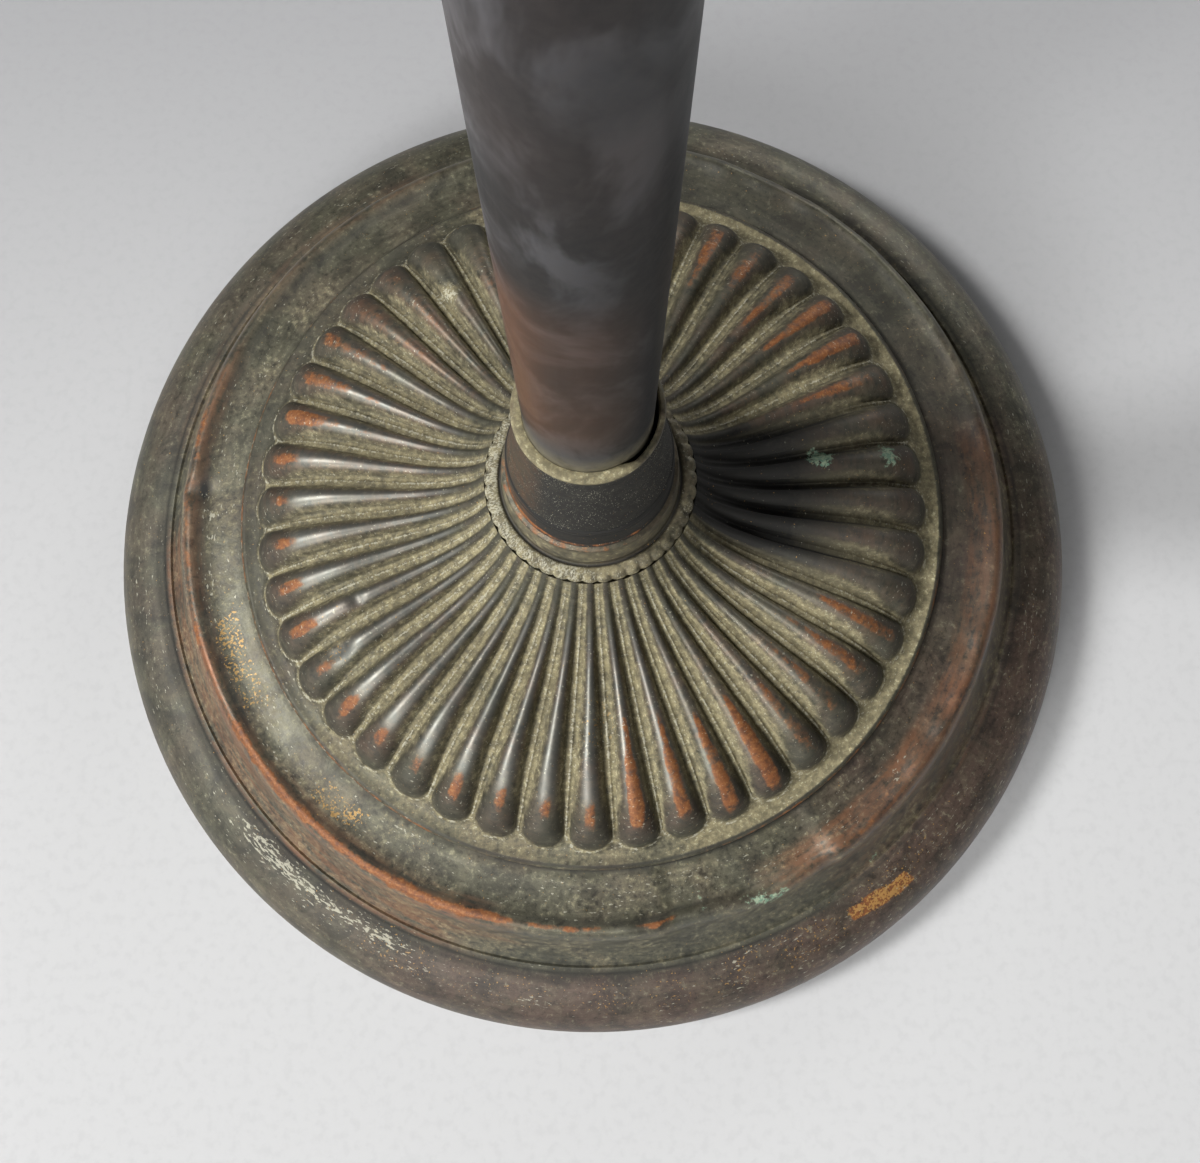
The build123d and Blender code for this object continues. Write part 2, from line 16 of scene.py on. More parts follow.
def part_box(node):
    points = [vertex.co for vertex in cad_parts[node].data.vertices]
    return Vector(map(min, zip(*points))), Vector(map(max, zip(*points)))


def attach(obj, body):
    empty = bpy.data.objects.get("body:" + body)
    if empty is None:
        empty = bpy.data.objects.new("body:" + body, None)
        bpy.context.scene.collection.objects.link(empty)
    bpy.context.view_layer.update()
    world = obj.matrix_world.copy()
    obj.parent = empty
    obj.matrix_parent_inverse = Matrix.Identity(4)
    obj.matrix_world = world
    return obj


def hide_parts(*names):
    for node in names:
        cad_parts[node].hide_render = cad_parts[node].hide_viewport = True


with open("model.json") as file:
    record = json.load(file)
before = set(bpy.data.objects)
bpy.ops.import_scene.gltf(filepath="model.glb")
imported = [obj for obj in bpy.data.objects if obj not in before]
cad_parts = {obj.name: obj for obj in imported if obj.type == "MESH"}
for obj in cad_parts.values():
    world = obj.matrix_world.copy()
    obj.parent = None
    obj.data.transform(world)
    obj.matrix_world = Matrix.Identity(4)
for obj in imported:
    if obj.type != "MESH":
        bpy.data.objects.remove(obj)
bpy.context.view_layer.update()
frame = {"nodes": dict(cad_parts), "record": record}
nodes = frame["nodes"]

MM = 0.001
BASE_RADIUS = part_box("base_shell")[1].x                  # the camera is placed against these two
EQUATOR = 0.0103                                         # height of the base's widest point
BASE_MM = 143.0                                          # traits on the base use shares of this radius
POLE_BORE = 14.02                                        # bore of the turned pieces that sit on the pole
PIPE_BORE = 5.5                                          # bore of the pieces that the lamp pipe runs through
FLUTES = 44
PITCH = 360.0 / FLUTES                                   # degrees from one gadroon to the next
FLUTE_START = -2.2                                       # azimuth of gadroon number 0


# ---------------------------------------------------------------- camera
TILT = math.radians(11.016)                              # away from straight down
HEADING = math.radians(1.358)
ROLL = math.radians(-0.657)
LENS = 39.71                                             # in mm, like the sensor's width
SENSOR_WIDTH = 36.0
CAMERA_BACK = 0.6210 * BASE_RADIUS                       # in front of the lamp's axis
CAMERA_UP = EQUATOR + 2.7819 * BASE_RADIUS


def make_camera():
    """Looks down on the base from about 0.4 m up, a little in front of the pole."""
    forward = Vector((math.sin(HEADING) * math.sin(TILT), math.cos(HEADING) * math.sin(TILT), -math.cos(TILT)))
    right = Vector((math.cos(HEADING), -math.sin(HEADING), 0.0))
    up = right.cross(forward)
    rolled_right = right * math.cos(ROLL) + up * math.sin(ROLL)
    rolled_up = up * math.cos(ROLL) - right * math.sin(ROLL)
    data = bpy.data.cameras.new("camera")
    data.sensor_width = SENSOR_WIDTH
    data.lens = LENS
    data.clip_start = 0.01
    camera = bpy.data.objects.new("camera", data)
    place = Matrix((rolled_right, rolled_up, -forward)).transposed().to_4x4()
    place.translation = Vector((0.0, -CAMERA_BACK, CAMERA_UP))
    camera.matrix_world = place
    bpy.context.collection.objects.link(camera)
    bpy.context.scene.camera = camera


make_camera()


# ---------------------------------------------------------------- light, floor and surroundings
def soft_light(name, place, target, size, watts, spread=180.0):
    """Oblong studio light at place, facing target, that isn't seen itself."""
    data = bpy.data.lights.new(name, "AREA")
    data.shape = "RECTANGLE"
    data.size = size[0]
    data.size_y = size[1]
    data.energy = watts
    data.spread = math.radians(spread)
    light = bpy.data.objects.new(name, data)
    light.location = place
    light.rotation_euler = (Vector(target) - Vector(place)).to_track_quat("-Z", "Y").to_euler()
    light.visible_camera = False
    bpy.context.collection.objects.link(light)


def make_surroundings():
    """Pale grey room light, a little stronger from the left than from the right."""
    world = bpy.data.worlds.new("studio")
    bpy.context.scene.world = world
    world.use_nodes = True
    tree = world.node_tree
    tree.nodes.clear()
    place = tree.nodes.new("ShaderNodeTexCoord")
    split = tree.nodes.new("ShaderNodeSeparateXYZ")
    shade = tree.nodes.new("ShaderNodeMapRange")
    background = tree.nodes.new("ShaderNodeBackground")
    output = tree.nodes.new("ShaderNodeOutputWorld")
    tree.links.new(place.outputs["Generated"], split.inputs[0])
    tree.links.new(split.outputs["X"], shade.inputs["Value"])
    shade.inputs["From Min"].default_value = -1.0
    shade.inputs["From Max"].default_value = 1.0
    shade.inputs["To Min"].default_value = 0.11
    shade.inputs["To Max"].default_value = 0.03
    background.inputs["Color"].default_value = (1.0, 1.0, 1.01, 1.0)
    tree.links.new(shade.outputs["Result"], background.inputs["Strength"])
    tree.links.new(background.outputs[0], output.inputs["Surface"])


make_surroundings()
soft_light("key", (-2.06, -0.20, 2.45), (0.0, 0.0, 0.05), (0.56, 0.80), 98.0)
soft_light("front", (-0.15, -0.85, 0.75), (-0.05, -0.5, 0.0), (0.8, 0.3), 1.6, spread=100.0)
soft_light("behind", (0.85, 1.30, 0.55), (0.06, 0.08, 0.02), (0.9, 0.4), 0.9, spread=60.0)
soft_light("high", (-1.8, -2.4, 2.0), (0.0, 0.0, 1.35), (1.2, 1.2), 24.0, spread=64.0)
bpy.context.scene.view_settings.view_transform = "Standard"


# ---------------------------------------------------------------- node graphs
class Graph:
    """Short calls that add nodes to one material."""

    def __init__(self, name):
        self.material = bpy.data.materials.new(name)
        self.material.use_nodes = True
        self.tree = self.material.node_tree
        self.tree.nodes.clear()
        self.place = self.add("ShaderNodeTexCoord", "Object")
        self.colour = None

    def add(self, kind, output, inputs=(), **settings):
        """Adds a node, sets or links its inputs, and gives its named output."""
        node = self.tree.nodes.new(kind)
        for key, value in settings.items():
            setattr(node, key, value)
        for key, value in dict(inputs).items():
            if isinstance(value, bpy.types.NodeSocket):
                self.tree.links.new(value, node.inputs[key])
            elif value is not None:
                node.inputs[key].default_value = value
        return node.outputs[output]

    def attribute(self, name):
        return self.add("ShaderNodeAttribute", "Fac", attribute_name=name)

    def scaled(self, *factors):
        """The object's own coordinates, stretched along each axis."""
        return self.add("ShaderNodeMapping", "Vector", {"Vector": self.place, "Scale": factors})

    def axes(self):
        """The object's own x, y and z."""
        split = self.tree.nodes.new("ShaderNodeSeparateXYZ")
        self.tree.links.new(self.place, split.inputs[0])
        return tuple(split.outputs)

    def reach(self, x, y):
        """Length of the flat vector x, y."""
        return self.math("SQRT", self.math("ADD", self.times(x, x), self.times(y, y)))

    def wrapped(self, along, out, up):
        """Coordinates that run round the Z axis, outwards and upwards, each stretched by its factor."""
        x, y, z = self.axes()
        turn = self.math("ARCTAN2", x, self.math("MULTIPLY", y, -1.0))
        reach = self.reach(x, y)
        return self.add("ShaderNodeCombineXYZ", "Vector", {
            "X": self.times(turn, BASE_RADIUS * 0.8 / along), "Y": self.times(reach, 1.0 / out),
            "Z": self.times(z, 1.0 / up)})

    def noise(self, size_mm, detail=3.0, roughness=0.55, distortion=0.0, at=None):
        """Fractal noise from 0 to 1 whose largest blotches measure about size_mm."""
        return self.add("ShaderNodeTexNoise", "Fac", {
            "Vector": at or self.place, "Scale": 0.5 / (size_mm * MM), "Detail": detail,
            "Roughness": roughness, "Distortion": distortion})

    def math(self, operation, a, b=None, c=None, clamp=False):
        return self.add("ShaderNodeMath", "Value", {0: a, 1: b, 2: c}, operation=operation, use_clamp=clamp)

    def times(self, *values):
        result = values[0]
        for value in values[1:]:
            result = self.math("MULTIPLY", result, value)
        return result

    def step(self, value, low, high, to_low=0.0, to_high=1.0):
        """Smooth step from to_low to to_high as value goes from low to high."""
        return self.add("ShaderNodeMapRange", "Result", {
            "Value": value, "From Min": low, "From Max": high, "To Min": to_low, "To Max": to_high},
            interpolation_type="SMOOTHSTEP")

    def mix(self, share, a, b):
        """Colour between a and b."""
        keys = ("Factor", "A", "B")
        node = self.tree.nodes.new("ShaderNodeMix")
        node.data_type = "RGBA"
        sockets = {key: next(s for s in node.inputs if s.name == key and s.enabled) for key in keys}
        for key, value in zip(keys, (share, a, b)):
            if isinstance(value, bpy.types.NodeSocket):
                self.tree.links.new(value, sockets[key])
            elif key == "Factor":
                sockets[key].default_value = value
            else:
                sockets[key].default_value = (*value, 1.0)
        return next(s for s in node.outputs if s.enabled)

    def lay(self, share, top):
        """Lays share of the colour top over the colour so far."""
        self.colour = self.mix(share, self.colour, top)

    def frayed(self, noise, reach, trait):
        """The trait with its edges broken up by noise, over the given reach."""
        return self.math("MULTIPLY_ADD", self.math("SUBTRACT", noise, 0.5), reach, self.attribute(trait))

    def blend(self, share, a, b):
        """Number between a and b."""
        return self.add("ShaderNodeMapRange", "Result", {"Value": share, "To Min": a, "To Max": b})

    def bump(self, height, depth_mm, under=None):
        """Surface relief whose full height is depth_mm."""
        return self.add("ShaderNodeBump", "Normal", {
            "Height": height, "Distance": depth_mm * MM, "Normal": under, "Strength": 1.0})

    def finish(self, **sockets):
        """Adds the surface shader in the colour so far, with its other sockets given by name."""
        names = {"metallic": "Metallic", "roughness": "Roughness", "normal": "Normal", "ior": "IOR",
                 "transmission": "Transmission Weight", "coat": "Coat Weight", "coat_roughness": "Coat Roughness",
                 "sheen": "Sheen Weight", "specular": "Specular IOR Level"}
        inputs = {names[key]: value for key, value in sockets.items()}
        shader = self.add("ShaderNodeBsdfPrincipled", "BSDF", {"Base Color": self.colour, **inputs})
        output = self.tree.nodes.new("ShaderNodeOutputMaterial")
        self.tree.links.new(shader, output.inputs["Surface"])
        return self.material


def srgb(red, green, blue):
    """Linear colour from screen values of 0 to 255."""
    return tuple((c / 255 / 12.92) if c < 10.3 else ((c / 255 + 0.055) / 1.055) ** 2.4 for c in (red, green, blue))


# ---------------------------------------------------------------- floor
def paper():
    """Matte off-white sheet with a faint laid tooth, greyer towards the back (painted shade) and paler again far from
    the lamp (painted light).
    """
    g = Graph("floor_paper")
    tooth = g.noise(1.6, detail=4.0)
    cloud = g.noise(180.0, detail=2.0)
    x, y, _ = g.axes()
    # Painted shade: greyer towards the back.
    far = g.step(y, -0.12, 0.32)
    g.colour = g.mix(far, srgb(195, 195, 195), srgb(150, 150, 152))
    # Painted light: paler again far from the lamp, against the lights' falloff.
    reach = g.reach(g.math("ADD", x, 1.3), g.math("ADD", y, 0.2))
    g.lay(g.step(reach, 1.68, 4.2), srgb(244, 244, 245))
    g.lay(g.step(cloud, 0.3, 0.7, 0.0, 0.04), srgb(206, 206, 206))
    g.lay(g.step(tooth, 0.55, 0.30, 0.0, 0.10), srgb(140, 140, 142))
    return g.finish(roughness=0.9, normal=g.bump(tooth, 0.05), specular=0.2)


def make_floor():
    mesh = bpy.data.meshes.new("floor")
    shape = bmesh.new()
    bmesh.ops.create_circle(shape, cap_ends=True, radius=25.0, segments=96)
    shape.to_mesh(mesh)
    shape.free()
    mesh.materials.append(paper())
    floor = bpy.data.objects.new("floor", mesh)
    bpy.context.collection.objects.link(floor)


make_floor()


# ---------------------------------------------------------------- shapes
def lattice(i, j, k, seed):
    """Repeatable number from 0 to 1 for each whole-number place."""
    h = (i * 374761393 + j * 668265263 + k * 1442695041 + seed * 1274126177) & 0xFFFFFFFF
    h = ((h ^ (h >> 13)) * 1274126177) & 0xFFFFFFFF
    return ((h ^ (h >> 16)) & 0xFFFF) / 65535.0


def rough(points, size, seed):
    """Smooth noise from -1 to 1 at points, an array whose last axis is x, y, z. Its lumps measure about size."""
    scaled = np.asarray(points) / size + 1000.0
    cell = np.floor(scaled).astype(np.int64)
    f = scaled - cell
    f = f * f * (3 - 2 * f)
    total = 0.0
    for corner in range(8):
        d = [(corner >> axis) & 1 for axis in range(3)]
        weight = 1.0
        for axis in range(3):
            weight = weight * (f[..., axis] if d[axis] else 1 - f[..., axis])
        total = total + weight * lattice(cell[..., 0] + d[0], cell[..., 1] + d[1], cell[..., 2] + d[2], seed)
    return total * 2 - 1


def ramp(value, low, high):
    """Smooth step from 0 at low to 1 at high."""
    t = np.clip((value - low) / (high - low), 0.0, 1.0)
    return t * t * (3 - 2 * t)


def bell(value, centre, width):
    """1 at centre, falling to about a third at width away."""
    return np.exp(-(((value - centre) / width) ** 2))


def within(value, low, high, soft):
    """1 between low and high, with soft edges outside them."""
    return ramp(value, low - soft, low) * (1 - ramp(value, high, high + soft))


def apart(azimuth, centre):
    """Signed degrees from centre, the short way round."""
    return (np.asarray(azimuth) - centre + 180.0) % 360.0 - 180.0


def patch(value, limits):
    """A band from (low, high, soft) or a bell from (centre, width)."""
    return within(value, *limits) if len(limits) == 3 else bell(value, *limits)


def add_marks(traits, marks, along, azimuth, *noises):
    """Adds marks to the traits.

    A mark is a trait's name, its limits along the profile, its limits in azimuth, its strength, and then how much
    of each noise the strength takes on.
    """
    for key, limits, (centre, *spread), strength, *shares in marks:
        for share, noise in zip(shares, noises):
            strength = strength + share * noise
        sideways = bell(apart(azimuth, centre), 0, *spread) if len(spread) == 1 else within(azimuth, centre, *spread)
        traits[key] = traits[key] + patch(along, limits) * sideways * strength


def smooth_line(points, at):
    """Heights at radii at, on a smooth line through (radius, height) points."""
    p = np.array(sorted(map(tuple, points)))
    slopes = np.gradient(p[:, 1], p[:, 0])
    i = np.clip(np.searchsorted(p[:, 0], at) - 1, 0, len(p) - 2)
    width = p[i + 1, 0] - p[i, 0]
    t = np.clip((at - p[i, 0]) / width, 0.0, 1.0)
    return ((2 * t**3 - 3 * t**2 + 1) * p[i, 1] + (t**3 - 2 * t**2 + t) * width * slopes[i]
            + (3 * t**2 - 2 * t**3) * p[i + 1, 1] + (t**3 - t**2) * width * slopes[i + 1])


def arc(centre, radius, start, end, count):
    """Points on an arc of a profile, from angle start to end in degrees."""
    return [(centre[0] + radius * math.cos(math.radians(a)), centre[1] + radius * math.sin(math.radians(a)))
            for a in np.linspace(start, end, count)]


def flowing(points, count):
    """Points along one smooth curve through a few given points."""
    p = np.array(points, float)
    run = np.concatenate([[0], np.cumsum(np.hypot(*np.diff(p, axis=0).T))])
    at = np.linspace(0, run[-1], count)
    return list(zip(*(smooth_line(zip(run, p[:, axis]), at) for axis in (0, 1))))


def dense(points, spacing):
    """The same outline with extra points, so that none are further apart than spacing."""
    result = []
    for a, b in zip(points, points[1:]):
        pieces = max(1, math.ceil(math.dist(a, b) / spacing))
        result += [(a[0] + (b[0] - a[0]) * i / pieces, a[1] + (b[1] - a[1]) * i / pieces) for i in range(pieces)]
    return result + [points[-1]]


def thickened(line, wall, every=1):
    """Closed outline of a sheet: line, then line offset by wall to its left, keeping each every-th point of that."""
    p = np.array(line)
    along = np.gradient(p, axis=0)
    along /= np.hypot(*along.T)[:, None]
    inner = (p + np.column_stack([-along[:, 1], along[:, 0]]) * wall)[::-1]
    return list(map(tuple, p)) + list(map(tuple, np.vstack([inner[:-1:every], inner[-1:]])))


def lathe(name, outline, azimuths=192, shape=None, traits=None, sharp=38.0):
    """Turned piece from a closed outline in millimetres.

    shape(radius, height, azimuth) gives the moved radius and height; traits(radius, height, azimuth, place)
    gives named numbers for the material, one per vertex.
    """
    if np.isscalar(azimuths):
        azimuths = np.linspace(-180.0, 180.0, azimuths, endpoint=False)
    ring = np.array(outline, float)
    radius, azimuth = np.meshgrid(ring[:, 0], azimuths)
    height = np.broadcast_to(ring[:, 1], radius.shape)
    moved_radius, moved_height = shape(radius, height, azimuth) if shape else (radius, height)
    turn = np.radians(azimuth)
    place = np.stack([moved_radius * np.sin(turn), -moved_radius * np.cos(turn), moved_height], -1)
    columns, rows = radius.shape
    i, j = np.meshgrid(np.arange(columns), np.arange(rows), indexing="ij")
    following, beyond = (i + 1) % columns, (j + 1) % rows
    faces = np.stack([i * rows + j, following * rows + j, following * rows + beyond, i * rows + beyond], -1)
    area = np.sum(ring[:, 0] * np.roll(ring[:, 1], -1) - np.roll(ring[:, 0], -1) * ring[:, 1])
    if area < 0:
        faces = faces[..., ::-1]
    mesh = bpy.data.meshes.new(name)
    mesh.from_pydata((place * MM).reshape(-1, 3).tolist(), [], faces.reshape(-1, 4).tolist())
    for key, values in (traits(radius, height, azimuth, place) if traits else {}).items():
        layer = mesh.attributes.new(key, "FLOAT", "POINT")
        layer.data.foreach_set("value", np.ascontiguousarray(values, np.float32).ravel())
    if ring[:, 0].min() < 1e-6:
        welded = bmesh.new()
        welded.from_mesh(mesh)
        bmesh.ops.remove_doubles(welded, verts=welded.verts, dist=1e-8)
        welded.to_mesh(mesh)
        welded.free()
    mesh.shade_smooth()
    mesh.set_sharp_from_angle(angle=math.radians(sharp))
    piece = bpy.data.objects.new(name, mesh)
    bpy.context.collection.objects.link(piece)
    return piece


replaced_nodes = set()


def settle(piece, material, slot, *stands_for, body="lamp"):
    """Gives a finished piece its material and its body, hides the CAD nodes that it stands for and notes them as
    replaced; slot is not used.
    """
    piece.data.materials.clear()
    piece.data.materials.append(material)
    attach(piece, body)
    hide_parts(*stands_for)
    replaced_nodes.update(stands_for)


# ---------------------------------------------------------------- aged bronze
OLIVE = srgb(88, 86, 71)
UMBER = srgb(90, 75, 66)
RUSSET = srgb(124, 84, 58)
COPPER = srgb(130, 78, 38)
BRASSY = srgb(176, 138, 76)
DUST = srgb(142, 133, 102)
PALE = srgb(196, 192, 158)
VERDIGRIS = srgb(112, 150, 128)
NEAR_BLACK = srgb(28, 27, 24)


def aged_bronze(name, metallic=0.45, gloss=0.46, relief=0.10, blotches=0.0):
    """Dark patina over copper alloy.

    The piece's own traits say where it is warm brown, polished, worn to copper, russet, dusty, flecked, brassy,
    green or sooty, and where shade or sheen is painted on it.
    """
    g = Graph(name)
    mottled = g.noise(9.0, detail=5.0, roughness=0.6, distortion=0.4)
    grain = g.noise(0.9, detail=5.0, roughness=0.72)
    speck = g.noise(0.36, detail=2.0, roughness=0.5)
    rubbed = g.noise(1.0, detail=4.0, roughness=0.65, at=g.wrapped(6.0, 1.0, 1.0))
    dashes = g.noise(0.34, detail=2.0, at=g.wrapped(2.4, 1.0, 1.0))
    ragged = g.math("MULTIPLY_ADD", grain, 0.6, g.times(mottled, 0.4))
    stains = g.noise(4.5, detail=5.0, roughness=0.68, distortion=0.5)

    brown = g.math("ADD", g.attribute("warm"), g.step(mottled, 0.36, 0.64, -0.15, 0.30), clamp=True)
    g.colour = g.mix(brown, OLIVE, UMBER)
    g.lay(g.step(rubbed, 0.50, 0.66, 0.0, 0.20), g.mix(brown, srgb(134, 130, 112), srgb(130, 112, 98)))
    g.lay(g.step(rubbed, 0.48, 0.34, 0.0, 0.28), srgb(52, 50, 46))
    g.lay(g.step(grain, 0.54, 0.70, 0.0, 0.26), PALE)
    g.lay(g.step(grain, 0.48, 0.34, 0.0, 0.50), NEAR_BLACK)
    g.lay(g.step(stains, 0.52, 0.38, 0.0, blotches), srgb(44, 42, 38))
    g.lay(g.step(stains, 0.54, 0.70, 0.0, 0.5 * blotches), srgb(142, 132, 108))

    patchy = g.math("MULTIPLY_ADD", rubbed, 0.6, g.times(grain, 0.4))
    russet = g.times(g.attribute("russet"), g.step(patchy, 0.38, 0.58))
    g.lay(russet, RUSSET)
    polish = g.attribute("polish")
    # Lighter grey where the metal is polished; on the disc's left-front crests this is also a painted sheen.
    g.lay(g.times(polish, 0.5), srgb(126, 128, 124))
    dust = g.times(g.step(g.frayed(ragged, 1.6, "dust"), 0.10, 0.90), g.step(g.attribute("dust"), 0.02, 0.15))
    powder = g.mix(g.step(grain, 0.36, 0.66), srgb(104, 97, 74), g.mix(g.step(speck, 0.54, 0.76), DUST, PALE))
    g.lay(dust, powder)
    # Near-black where there is soot and where shade is painted: the pole's shadow and the flank lines on the disc,
    # the collar's right side and inside, and shadows on the shell.
    soot = g.math("MULTIPLY", g.attribute("soot"), g.step(ragged, 0.3, 0.6, 0.75, 1.0), clamp=True)
    g.lay(soot, NEAR_BLACK)

    bare = g.step(g.frayed(ragged, 1.6, "worn"), 0.36, 0.78, 0.0, 0.92)
    bright = g.mix(g.step(speck, 0.46, 0.64), COPPER, srgb(148, 98, 56))
    g.lay(bare, g.mix(g.step(grain, 0.36, 0.56), srgb(98, 59, 36), bright))
    brassy = g.step(g.frayed(speck, 2.4, "brassy"), 0.50, 0.66)
    g.lay(g.times(brassy, 0.65), BRASSY)
    fleck = g.step(g.frayed(dashes, 2.2, "fleck"), 0.50, 0.66)
    g.lay(g.times(fleck, 0.65), srgb(178, 175, 156))
    green = g.step(g.frayed(grain, 1.8, "green"), 0.46, 0.66)
    g.lay(g.times(green, 0.8), g.mix(g.step(speck, 0.4, 0.6), VERDIGRIS, srgb(160, 178, 150)))

    matt = g.math("MAXIMUM", dust, g.math("MAXIMUM", green, soot))
    shine = g.math("MULTIPLY_ADD", polish, 0.25, g.blend(matt, metallic, 0.05))
    shine = g.times(shine, g.blend(bare, 1.0, 0.5))
    clean = g.math("MULTIPLY_ADD", polish, -0.06, g.step(ragged, 0.3, 0.7, gloss - 0.05, gloss + 0.10))
    dull = g.blend(g.math("MAXIMUM", matt, g.times(bare, 0.3)), clean, 0.85)
    normal = g.bump(g.math("MULTIPLY_ADD", grain, 0.7, g.times(speck, 0.3)), relief)
    normal = g.bump(g.math("MAXIMUM", bare, fleck), 0.02, under=normal)
    return g.finish(metallic=shine, roughness=dull, normal=normal)


# ---------------------------------------------------------------- base shell
def shell_line():
    """Outer face of the base shell from its tucked foot to the plateau under the disc."""
    roll = arc((123.6, 10.3), 19.4, 0, 90, 40)
    line = dense([(131.9, 2.2), (134.9, 2.2)], 1.0) + arc((134.9, 10.3), 8.1, -90, 0, 14)[1:] + roll[1:]
    line += flowing([(123.0, 29.2), (121.2, 31.2), (118.8, 35.2), (117.2, 39.0), (116.2, 42.4)], 15)
    line += flowing([(116.0, 43.4), (115.4, 46.0), (114.2, 48.4), (112.4, 49.7), (110.4, 49.3)], 14)
    line += flowing([(109.6, 49.0), (106.5, 48.7), (102.5, 49.2), (98.5, 50.2), (96.0, 50.4)], 15)
    return line + dense([(95.0, 50.4), (88.0, 50.4)], 2.4)


def shell_shape(radius, height, azimuth):
    """Years of knocks: a notch and a flattened stretch in the ridge, and soft dents round the plateau."""
    top = ramp(height, 30.0, 46.0)
    turn = np.radians(azimuth)
    around = np.stack([radius * np.sin(turn), -radius * np.cos(turn), height], -1)
    lumps = rough(around, 13.0, 3) * 0.55 + rough(around, 6.0, 4) * 0.22
    side = within(apart(azimuth, 62.0), -56.0, 50.0, 14.0) + 0.7 * within(apart(azimuth, 140.0), -18.0, 18.0, 10.0)
    on_ridge = bell(radius, 112.5, 4.5) * top
    on_plateau = within(radius, 98.0, 110.0, 4.0) * top
    lift = lumps * (0.25 + 1.2 * side) * (on_ridge + 0.6 * on_plateau)
    notch = bell(apart(azimuth, -95.6), 0, 1.5)
    crushed = within(apart(azimuth, 20.0), -10.0, 11.0, 3.0)
    wave = 0.5 + 0.5 * np.cos(np.radians(apart(azimuth, 22.0) * 17.0))
    lift = lift - notch * (1.7 * on_ridge + 0.5 * bell(radius, 107.5, 1.6) * top)
    lift = lift - crushed * (1.1 + 0.9 * wave) * (on_ridge * 0.9 + on_plateau * 0.5)
    sway = rough(around, 26.0, 9) * 0.35 + notch * 1.2 - crushed * (1.6 - 1.2 * wave)
    return radius + sway * on_ridge, height + lift


SHELL_MARKS = (                                          # trait, radii, azimuths, strength, wander, flutter, crumbs
    ("worn", (0.787, 0.009), (33.0, 39.0, 3.0), 0.48),
    ("worn", (0.775, 0.012), (41.0, 52.0, 4.0), 0.36, 0, 0.3),
    ("worn", (0.735, 0.02), (62.0, 92.0, 6.0), 0.16),
    ("russet", (0.838, 0.868, 0.008), (-88.0, -24.0, 8.0), 0.80, 0.4),
    ("russet", (0.80, 0.84, 0.01), (-88.0, -24.0, 8.0), 0.40, 0.3),
    ("russet", (0.79, 0.825, 0.012), (-74.0, -16.0, 8.0), 0.60, 0.4),
    ("russet", (0.745, 0.80, 0.02), (28.0, 96.0, 8.0), 0.66, 0.4),
    ("russet", (0.79, 0.872, 0.02), (-152.0, -110.0, 12.0), 0.30),
    ("russet", (0.81, 0.87, 0.01), (36.0, 60.0, 8.0), 0.3, 0, 0.4),
    ("russet", (0.765, 0.80, 0.012), (-112.0, -20.0, 8.0), 0.45),
    ("fleck", (0.902, 0.018), (-47.0, -30.0, 9.0), 0.40, 0.12),
    ("fleck", (0.93, 0.05), (-92.0, -8.0, 12.0), 0.17, 0.10),
    ("fleck", (0.70, 0.76, 0.02), (-120.0, 40.0, 20.0), 0.17, 0.10),
    ("fleck", (0.93, 0.008), (-9.0, 1.1), 0.45, 0, 0, 0.35),
    ("fleck", (0.865, 0.004), (-9.0, 1.5), 0.45, 0, 0, 0.35),
    ("fleck", (0.764, 0.004), (47.0, 0.7), 0.7),
    ("fleck", (0.742, 0.004), (-92.0, 0.45), 0.8),
    ("fleck", (0.742, 0.004), (-88.5, 0.3), 0.8),
    ("fleck", (0.742, 0.004), (-83.0, 0.3), 0.8),
    ("brassy", (0.712, 0.758, 0.008), (-75.0, -63.0, 4.0), 0.36, 0, 0.2),
    ("brassy", (0.712, 0.752, 0.006), (-45.0, -39.0, 3.0), 0.40, 0, 0.2),
    ("brassy", (0.697, 0.003), (39.6, 0.5), 0.8),
    ("brassy", (0.885, 0.94, 0.02), (-30.0, 40.0, 14.0), 0.14, 0.12),
    ("green", (0.805, 0.014), (23.0, 4.0), 0.50),
    ("green", (0.856, 0.006), (38.0, 0.9), 0.7),
    ("green", (0.72, 0.80, 0.01), (12.0, 30.0, 6.0), 0.18, 0, 0.25),
    ("dust", (0.69, 0.765, 0.01), (-120.0, 30.0, 30.0), 0.20, 0.15),
    # Painted shade on the plateau just inside the ridge at the left, where the ridge shades it.
    ("soot", (0.764, 0.011), (-150.0, -66.0, 14.0), 0.60, 0, 0.2),
    ("soot", (0.771, 0.004), (-66.0, 10.0, 8.0), 0.45, 0, 0.3),
    # Painted shadow of the disc's raised edge on the plateau, towards the right.
    ("soot", (0.66, 0.682, 0.003), (-10.0, 140.0, 20.0), 0.75),
    ("soot", (0.757, 0.010), (-95.6, 1.5), 0.8),
    ("soot", (0.876, 0.888, 0.012), (-120.0, 20.0, 20.0), 0.30),
    ("soot", (0.89, 0.945, 0.03), (-90.0, 10.0, 20.0), 0.30, 0.15),
    # Painted shade on the plateau on the right, away from the light, where the pole's shadow falls.
    ("soot", (0.685, 0.775, 0.012), (76.0, 165.0, 16.0), 0.42, 0.2),
)


